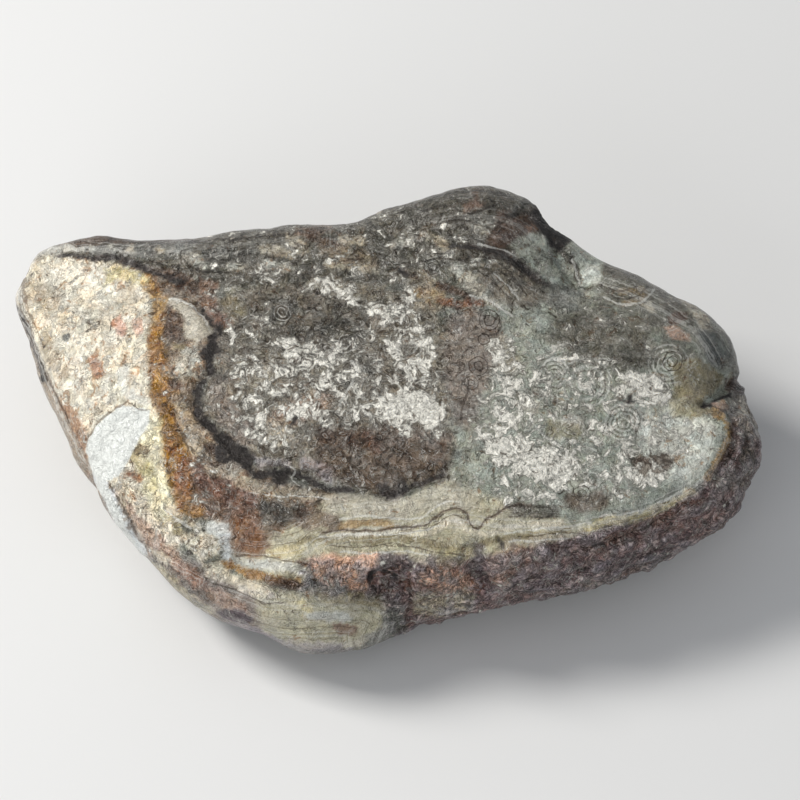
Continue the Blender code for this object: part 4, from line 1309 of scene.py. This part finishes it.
def agateSurface():
    made = bpy.data.materials.new("rough agate")
    made.use_nodes = True
    tree = made.node_tree
    surface = tree.nodes["Principled BSDF"]
    start = Strand(tree)
    coords = start.node("TexCoord", {}, {}, "Object")
    spot = start.node("VectorMath", {"operation": "SCALE"}, {0: coords, "Scale": 1000.0})
    swirl = start.node("TexNoise", {}, {"Vector": spot, "Scale": grains["swirl"], "Detail": 2.0,
                                        "Roughness": 0.6}, "Color")
    swirl = start.node("VectorMath", {"operation": "SUBTRACT"}, {0: swirl, 1: (0.5, 0.5, 0.5)})
    swirl = start.node("VectorMath", {"operation": "SCALE"}, {0: swirl, "Scale": grains["swirlReach"]})
    bent = start.node("VectorMath", {"operation": "ADD"}, {0: spot, 1: swirl})

    def noiseOf(name, of=None):
        scale, detail, roughness, shift, distortion, swirled = noises[name]
        of = of or (bent if swirled else spot)
        if shift:
            shifts = (shift, shift * 0.7, shift * 1.3)
            of = start.node("VectorMath", {"operation": "ADD"}, {0: of, 1: shifts})
        return start.node("TexNoise", {}, {"Vector": of, "Scale": scale, "Detail": detail,
                                           "Roughness": roughness, "Distortion": distortion}, "Fac")

    def strataOf(depth, detail, roughness):
        # layers of uneven darkness, round nought
        return start.node("TexNoise", {"noise_dimensions": "1D"},
                          {"W": depth, "Scale": 1.0, "Detail": detail, "Roughness": roughness}, "Fac") - 0.5

    def threeOf(name):
        # the three values painted into one of the mesh's attributes
        field = start.node("Attribute", {"attribute_name": name}, {}, "Vector")
        split = start.node("SeparateXYZ", {}, {0: field}, 0)
        return split, split.also(1), split.also(2)

    chalk, ink, wisp = threeOf("clouding")
    rings, mottle, gloss = threeOf("texture")
    layerDepth, layered, coarse = threeOf("layers")
    pigmentTone = start.node("Attribute", {"attribute_name": "pigment"}, {}, "Color")
    stain = pigmentTone.also("Alpha")

    cloud = noiseOf("cloud") - 0.5
    blotch = noiseOf("blotch") - 0.5
    speck = noiseOf("speck") - 0.5
    flaked = start.node("Mapping", {"vector_type": "TEXTURE"},
                        {"Vector": bent, "Rotation": grains["flakeTurn"], "Scale": grains["flakeLength"]})
    shard = abs(noiseOf("shard", flaked) - 0.5)
    warmth = noiseOf("warmth") - 0.5
    strata = strataOf(blotch * 13.0 + cloud * 6.0, 2.0, 0.7)
    value = cloud * 1.1 + blotch * 1.0 + strata * 2.0 + (speck.step(-0.07, 0.07) - 0.5) * 0.24
    value = value + (blotch.step(-0.015, 0.02) - 0.5) * 0.22
    value = 1.0 + mottle * value + coarse * (shard * 5.0 - 0.24)
    tone = start.node("HueSaturation", {}, {"Hue": 0.5 + mottle * warmth * 0.04,
                                            "Saturation": 1.0 + mottle * (warmth * 1.2 - strata * 0.4),
                                            "Value": value, "Color": pigmentTone})

    # broad warm and cool tints
    warm = noiseOf("tint").step(0.38, 0.62)
    tint = start.node("Mix", {"data_type": "RGBA"},
                      {0: warm, 6: grains["coolTint"], 7: grains["warmTint"]}, 2)
    tone = tone.blend(tint, mottle * strengths["tints"], "MULTIPLY")

    # thin brown cracks in the warm tints
    curl = noiseOf("curl")
    crackle = (1.0 - abs(curl - 0.44).step(0.004, 0.016)) * noiseOf("cracklePatch").step(0.44, 0.56)
    tone = tone.blend(grains["stainTint"], crackle * mottle * strengths["crackle"], "MULTIPLY")

    # painted shade in the walls' cracks and painted highlights on their crests
    crackShade = (1.0 - shard.step(0.008, 0.040)) * coarse
    tone = tone.blend(grains["inkTone"], crackShade * strengths["wallCrackShade"], "MULTIPLY")
    tone = tone.blend(grains["crestHighlightTone"], shard.step(0.09, 0.15) * coarse * strengths["wallCrestHighlights"])

    # contours that follow the blotches, dark or pale in places
    contour = (blotch * 62.0 + cloud * 20.0).sum("COSINE")
    patchy = noiseOf("curlPatch")
    darkCurl = contour.step(0.72, 0.98) * (patchy + ink * 0.35).step(0.52, 0.72)
    paleCurl = (contour * -1.0).step(0.70, 0.98) * ((patchy * -1.0) + 1.0 + wisp * 0.35).step(0.54, 0.74)
    tone = tone.blend(grains["inkTone"], darkCurl * strengths["darkCurls"], "MULTIPLY")
    tone = tone.blend(grains["laceTone"], paleCurl * strengths["paleCurls"])

    # small rings, each cell of the stone by its own chance
    cells = start.node("TexVoronoi", {"feature": "F1"},
                       {"Vector": bent, "Scale": grains["cell"]}, "Distance")
    chance = start.node("SeparateColor", {}, {0: cells.also("Color")}, 0)
    ringed = rings.sum("GREATER_THAN", chance)
    uneven = cells + blotch * 0.2
    ringLine = 1.0 - abs(uneven - 0.40).step(0.02, 0.07)
    innerLine = 1.0 - abs(uneven - 0.22).step(0.01, 0.05)
    tone = tone.blend(grains["inkTone"], ringLine * ringed * strengths["cellRings"], "MULTIPLY")
    tone = tone.blend(grains["laceTone"], innerLine * ringed * strengths["cellInnerRings"])

    # thin layers, dark and pale
    stack = strataOf((layerDepth * grains["layer"] + blotch * 0.10 + cloud * 0.22) * 5.0, 3.0, 0.70)
    darkLayer = (1.0 - stack.step(-0.11, -0.04)) * layered
    tone = tone.blend(grains["inkTone"], darkLayer * strengths["darkLayers"], "MULTIPLY")
    tone = tone.blend(grains["laceTone"], stack.step(0.04, 0.12) * layered * strengths["paleLayers"])

    # iron stain in the grain, of the stone's own tone
    rusty = (noiseOf("rust") + stain * 0.36).step(0.62, 0.72)
    tone = tone.blend(grains["stainTint"], rusty * strengths["rust"], "MULTIPLY")

    # chalk in ragged clots with a thin haze round them, and lace in thin pale curls
    clots = noiseOf("clot") + chalk * 0.40 + strata * 0.10
    haze = clots.step(0.56, 0.76)
    chalky = clots.step(0.69, 0.75)
    outline = clots.step(0.655, 0.69) * (1.0 - chalky)
    crumb = noiseOf("crumb") - 0.5
    chalkTone = start.node("HueSaturation", {}, {"Value": 0.92 + strata * 0.8 + crumb * 2.2,
                                                 "Color": grains["chalkTone"]})
    tone = tone.blend(grains["inkTone"], outline * strengths["chalkOutline"], "MULTIPLY")
    chalked = haze * strengths["chalkHaze"] + chalky * (strengths["chalk"] + crumb * 2.0)
    tone = tone.blend(chalkTone, chalked)
    lacePatch = (noiseOf("lacePatch") + wisp * 0.35).step(0.60, 0.70)
    laced = (1.0 - abs(curl - 0.5).step(0.004, 0.020)) * lacePatch
    tone = tone.blend(grains["laceTone"], laced * (strengths["lace"] + strata * 1.0))

    # ink in clots, specks and worms
    pepper = noiseOf("pepper") + ink * 0.30
    shade = pepper.step(0.58, 0.76)
    peppered = pepper.step(0.71, 0.75)
    worm = abs(noiseOf("worm") - 0.5)
    wormPatch = (noiseOf("wormPatch") + ink * 0.35).step(0.60, 0.70)
    wormy = (1.0 - worm.step(0.005, 0.022)) * wormPatch
    inked = peppered.sum("MAXIMUM", wormy)
    shaded = shade * strengths["inkShade"] + inked * strengths["ink"]
    tone = tone.blend(grains["inkTone"], shaded, "MULTIPLY")

    # the black and the white patches, with ragged edges
    blackEdge, milkEdge, _ = threeOf("edges")
    ragged = blotch * 14.0 + speck * 5.0
    # the pit's black among these is painted shade in its cleft
    blackness = 1.0 - (blackEdge + ragged).step(-2.6, -0.6)
    pebble = (strata * 2.0 + crumb * 2.4).step(0.20, 0.42)
    blackened = blackness * (strengths["blackPatches"] - pebble * strengths["pebbles"])
    tone = tone.blend(grains["darkTone"], blackened)
    # the white of the pale strip and the milky patch is partly a painted reflection of the light
    whiteness = 1.0 - (milkEdge + ragged * 0.3).step(-1.0, 0.8)
    tone = tone.blend(grains["milkTone"], whiteness * strengths["milkyPatches"])

    # the drawn lines and ringed spots, broken by the grain; a wave is one ring long
    fullTurn = 6.2832

    def lineOf(name):
        across, down, gate = threeOf(name)
        away = (across * across + down * down).sum("SQRT") + blotch * 3.0
        return (1.0 - away.step(0.45, 1.25)) * (1.0 - gate.step(2.6, 3.6))

    def eyeOf(name):
        across, down, gate = threeOf(name)
        away = (across * across + down * down).sum("SQRT") + blotch * 0.5
        return (away * fullTurn).sum("COSINE"), 1.0 - gate.step(1.0, 1.12)

    wave, within = eyeOf("paleEyes")
    broken = within * (0.60 + cloud * 2.5 + strata * 1.0).step(0.2, 0.8)
    tone = tone.blend(grains["laceTone"], wave.step(0.35, 0.95) * broken * strengths["paleEyes"])
    gaps = (wave * -1.0).step(0.6, 1.0) * broken
    tone = tone.blend(grains["inkTone"], gaps * strengths["paleEyeGaps"], "MULTIPLY")
    wave, within = eyeOf("darkEyes")
    circles = wave.step(0.5, 0.95) * within
    tone = tone.blend(grains["inkTone"], circles * strengths["darkEyes"], "MULTIPLY")
    tone = tone.blend(grains["inkTone"], lineOf("darkLines") * strengths["darkLines"], "MULTIPLY")
    tone = tone.blend(grains["laceTone"], lineOf("paleLines") * strengths["paleLines"])

    # gloss, and what the grain raises and sinks
    roughness = grains["roughness"] + chalky * 0.25 - gloss * 0.14 + speck * 0.4 + coarse * 0.1
    fine = (speck * (0.35 + coarse * 0.5) + blotch * 1.5 + strata * 0.5 + chalky * 0.35
            - inked * 0.5 - darkCurl * 0.3 - rusty * 0.08 + coarse * shard * 4.0)
    bump = start.node("Bump", {}, {"Strength": 1.0, "Distance": grains["bumpDepth"], "Height": fine})
    tree.links.new(tone.socket, surface.inputs["Base Color"])
    tree.links.new(roughness.socket, surface.inputs["Roughness"])
    tree.links.new(bump.socket, surface.inputs["Normal"])
    return made


stone.data.materials.append(agateSurface())
stone.data.shade_smooth()
print("surface made")

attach(stone, "root")
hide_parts("agate")

# the studio: each light's size, power, place and tone, with the stone's middle as its aim
lights = {
    "window": (0.20, 4.0, (-0.46, 0.16, 0.46), (1.0, 0.98, 0.95)),
    "fill": (0.50, 1.7, (-0.35, -0.60, 0.30), (0.97, 0.98, 1.0)),
}
studio = {
    "aim": (0.0, 0.0, 0.012),
    "floorSize": 4.0,  # metres
    "floorTone": (0.78, 0.78, 0.77),
    "floorRoughness": 0.7,
    "worldTone": (0.90, 0.93, 0.98),
    "worldPower": 0.36,
}


def addLight(name):
    size, power, place, tone = lights[name]
    deselectAll()
    bpy.ops.object.light_add(type="AREA", location=place)
    lamp = bpy.context.active_object
    lamp.name = name
    lamp.data.size = size
    lamp.data.energy = power
    lamp.data.color = tone
    away = Vector(place) - Vector(studio["aim"])
    lamp.rotation_euler = away.to_track_quat("Z", "Y").to_euler()


def addFloor():
    deselectAll()
    bpy.ops.mesh.primitive_plane_add(size=studio["floorSize"])
    floor = bpy.context.active_object
    floor.name = "floor"
    paper = bpy.data.materials.new("floor")
    paper.use_nodes = True
    surface = paper.node_tree.nodes["Principled BSDF"]
    surface.inputs["Base Color"].default_value = (*studio["floorTone"], 1.0)
    surface.inputs["Roughness"].default_value = studio["floorRoughness"]
    floor.data.materials.append(paper)


for lightName in lights:
    addLight(lightName)
addFloor()
world = bpy.data.worlds.new("studio")
bpy.context.scene.world = world
world.use_nodes = True
background = world.node_tree.nodes["Background"]
background.inputs["Color"].default_value = (*studio["worldTone"], 1.0)
background.inputs["Strength"].default_value = studio["worldPower"]
bpy.context.scene.view_settings.view_transform = "Standard"
print("lights and floor set")
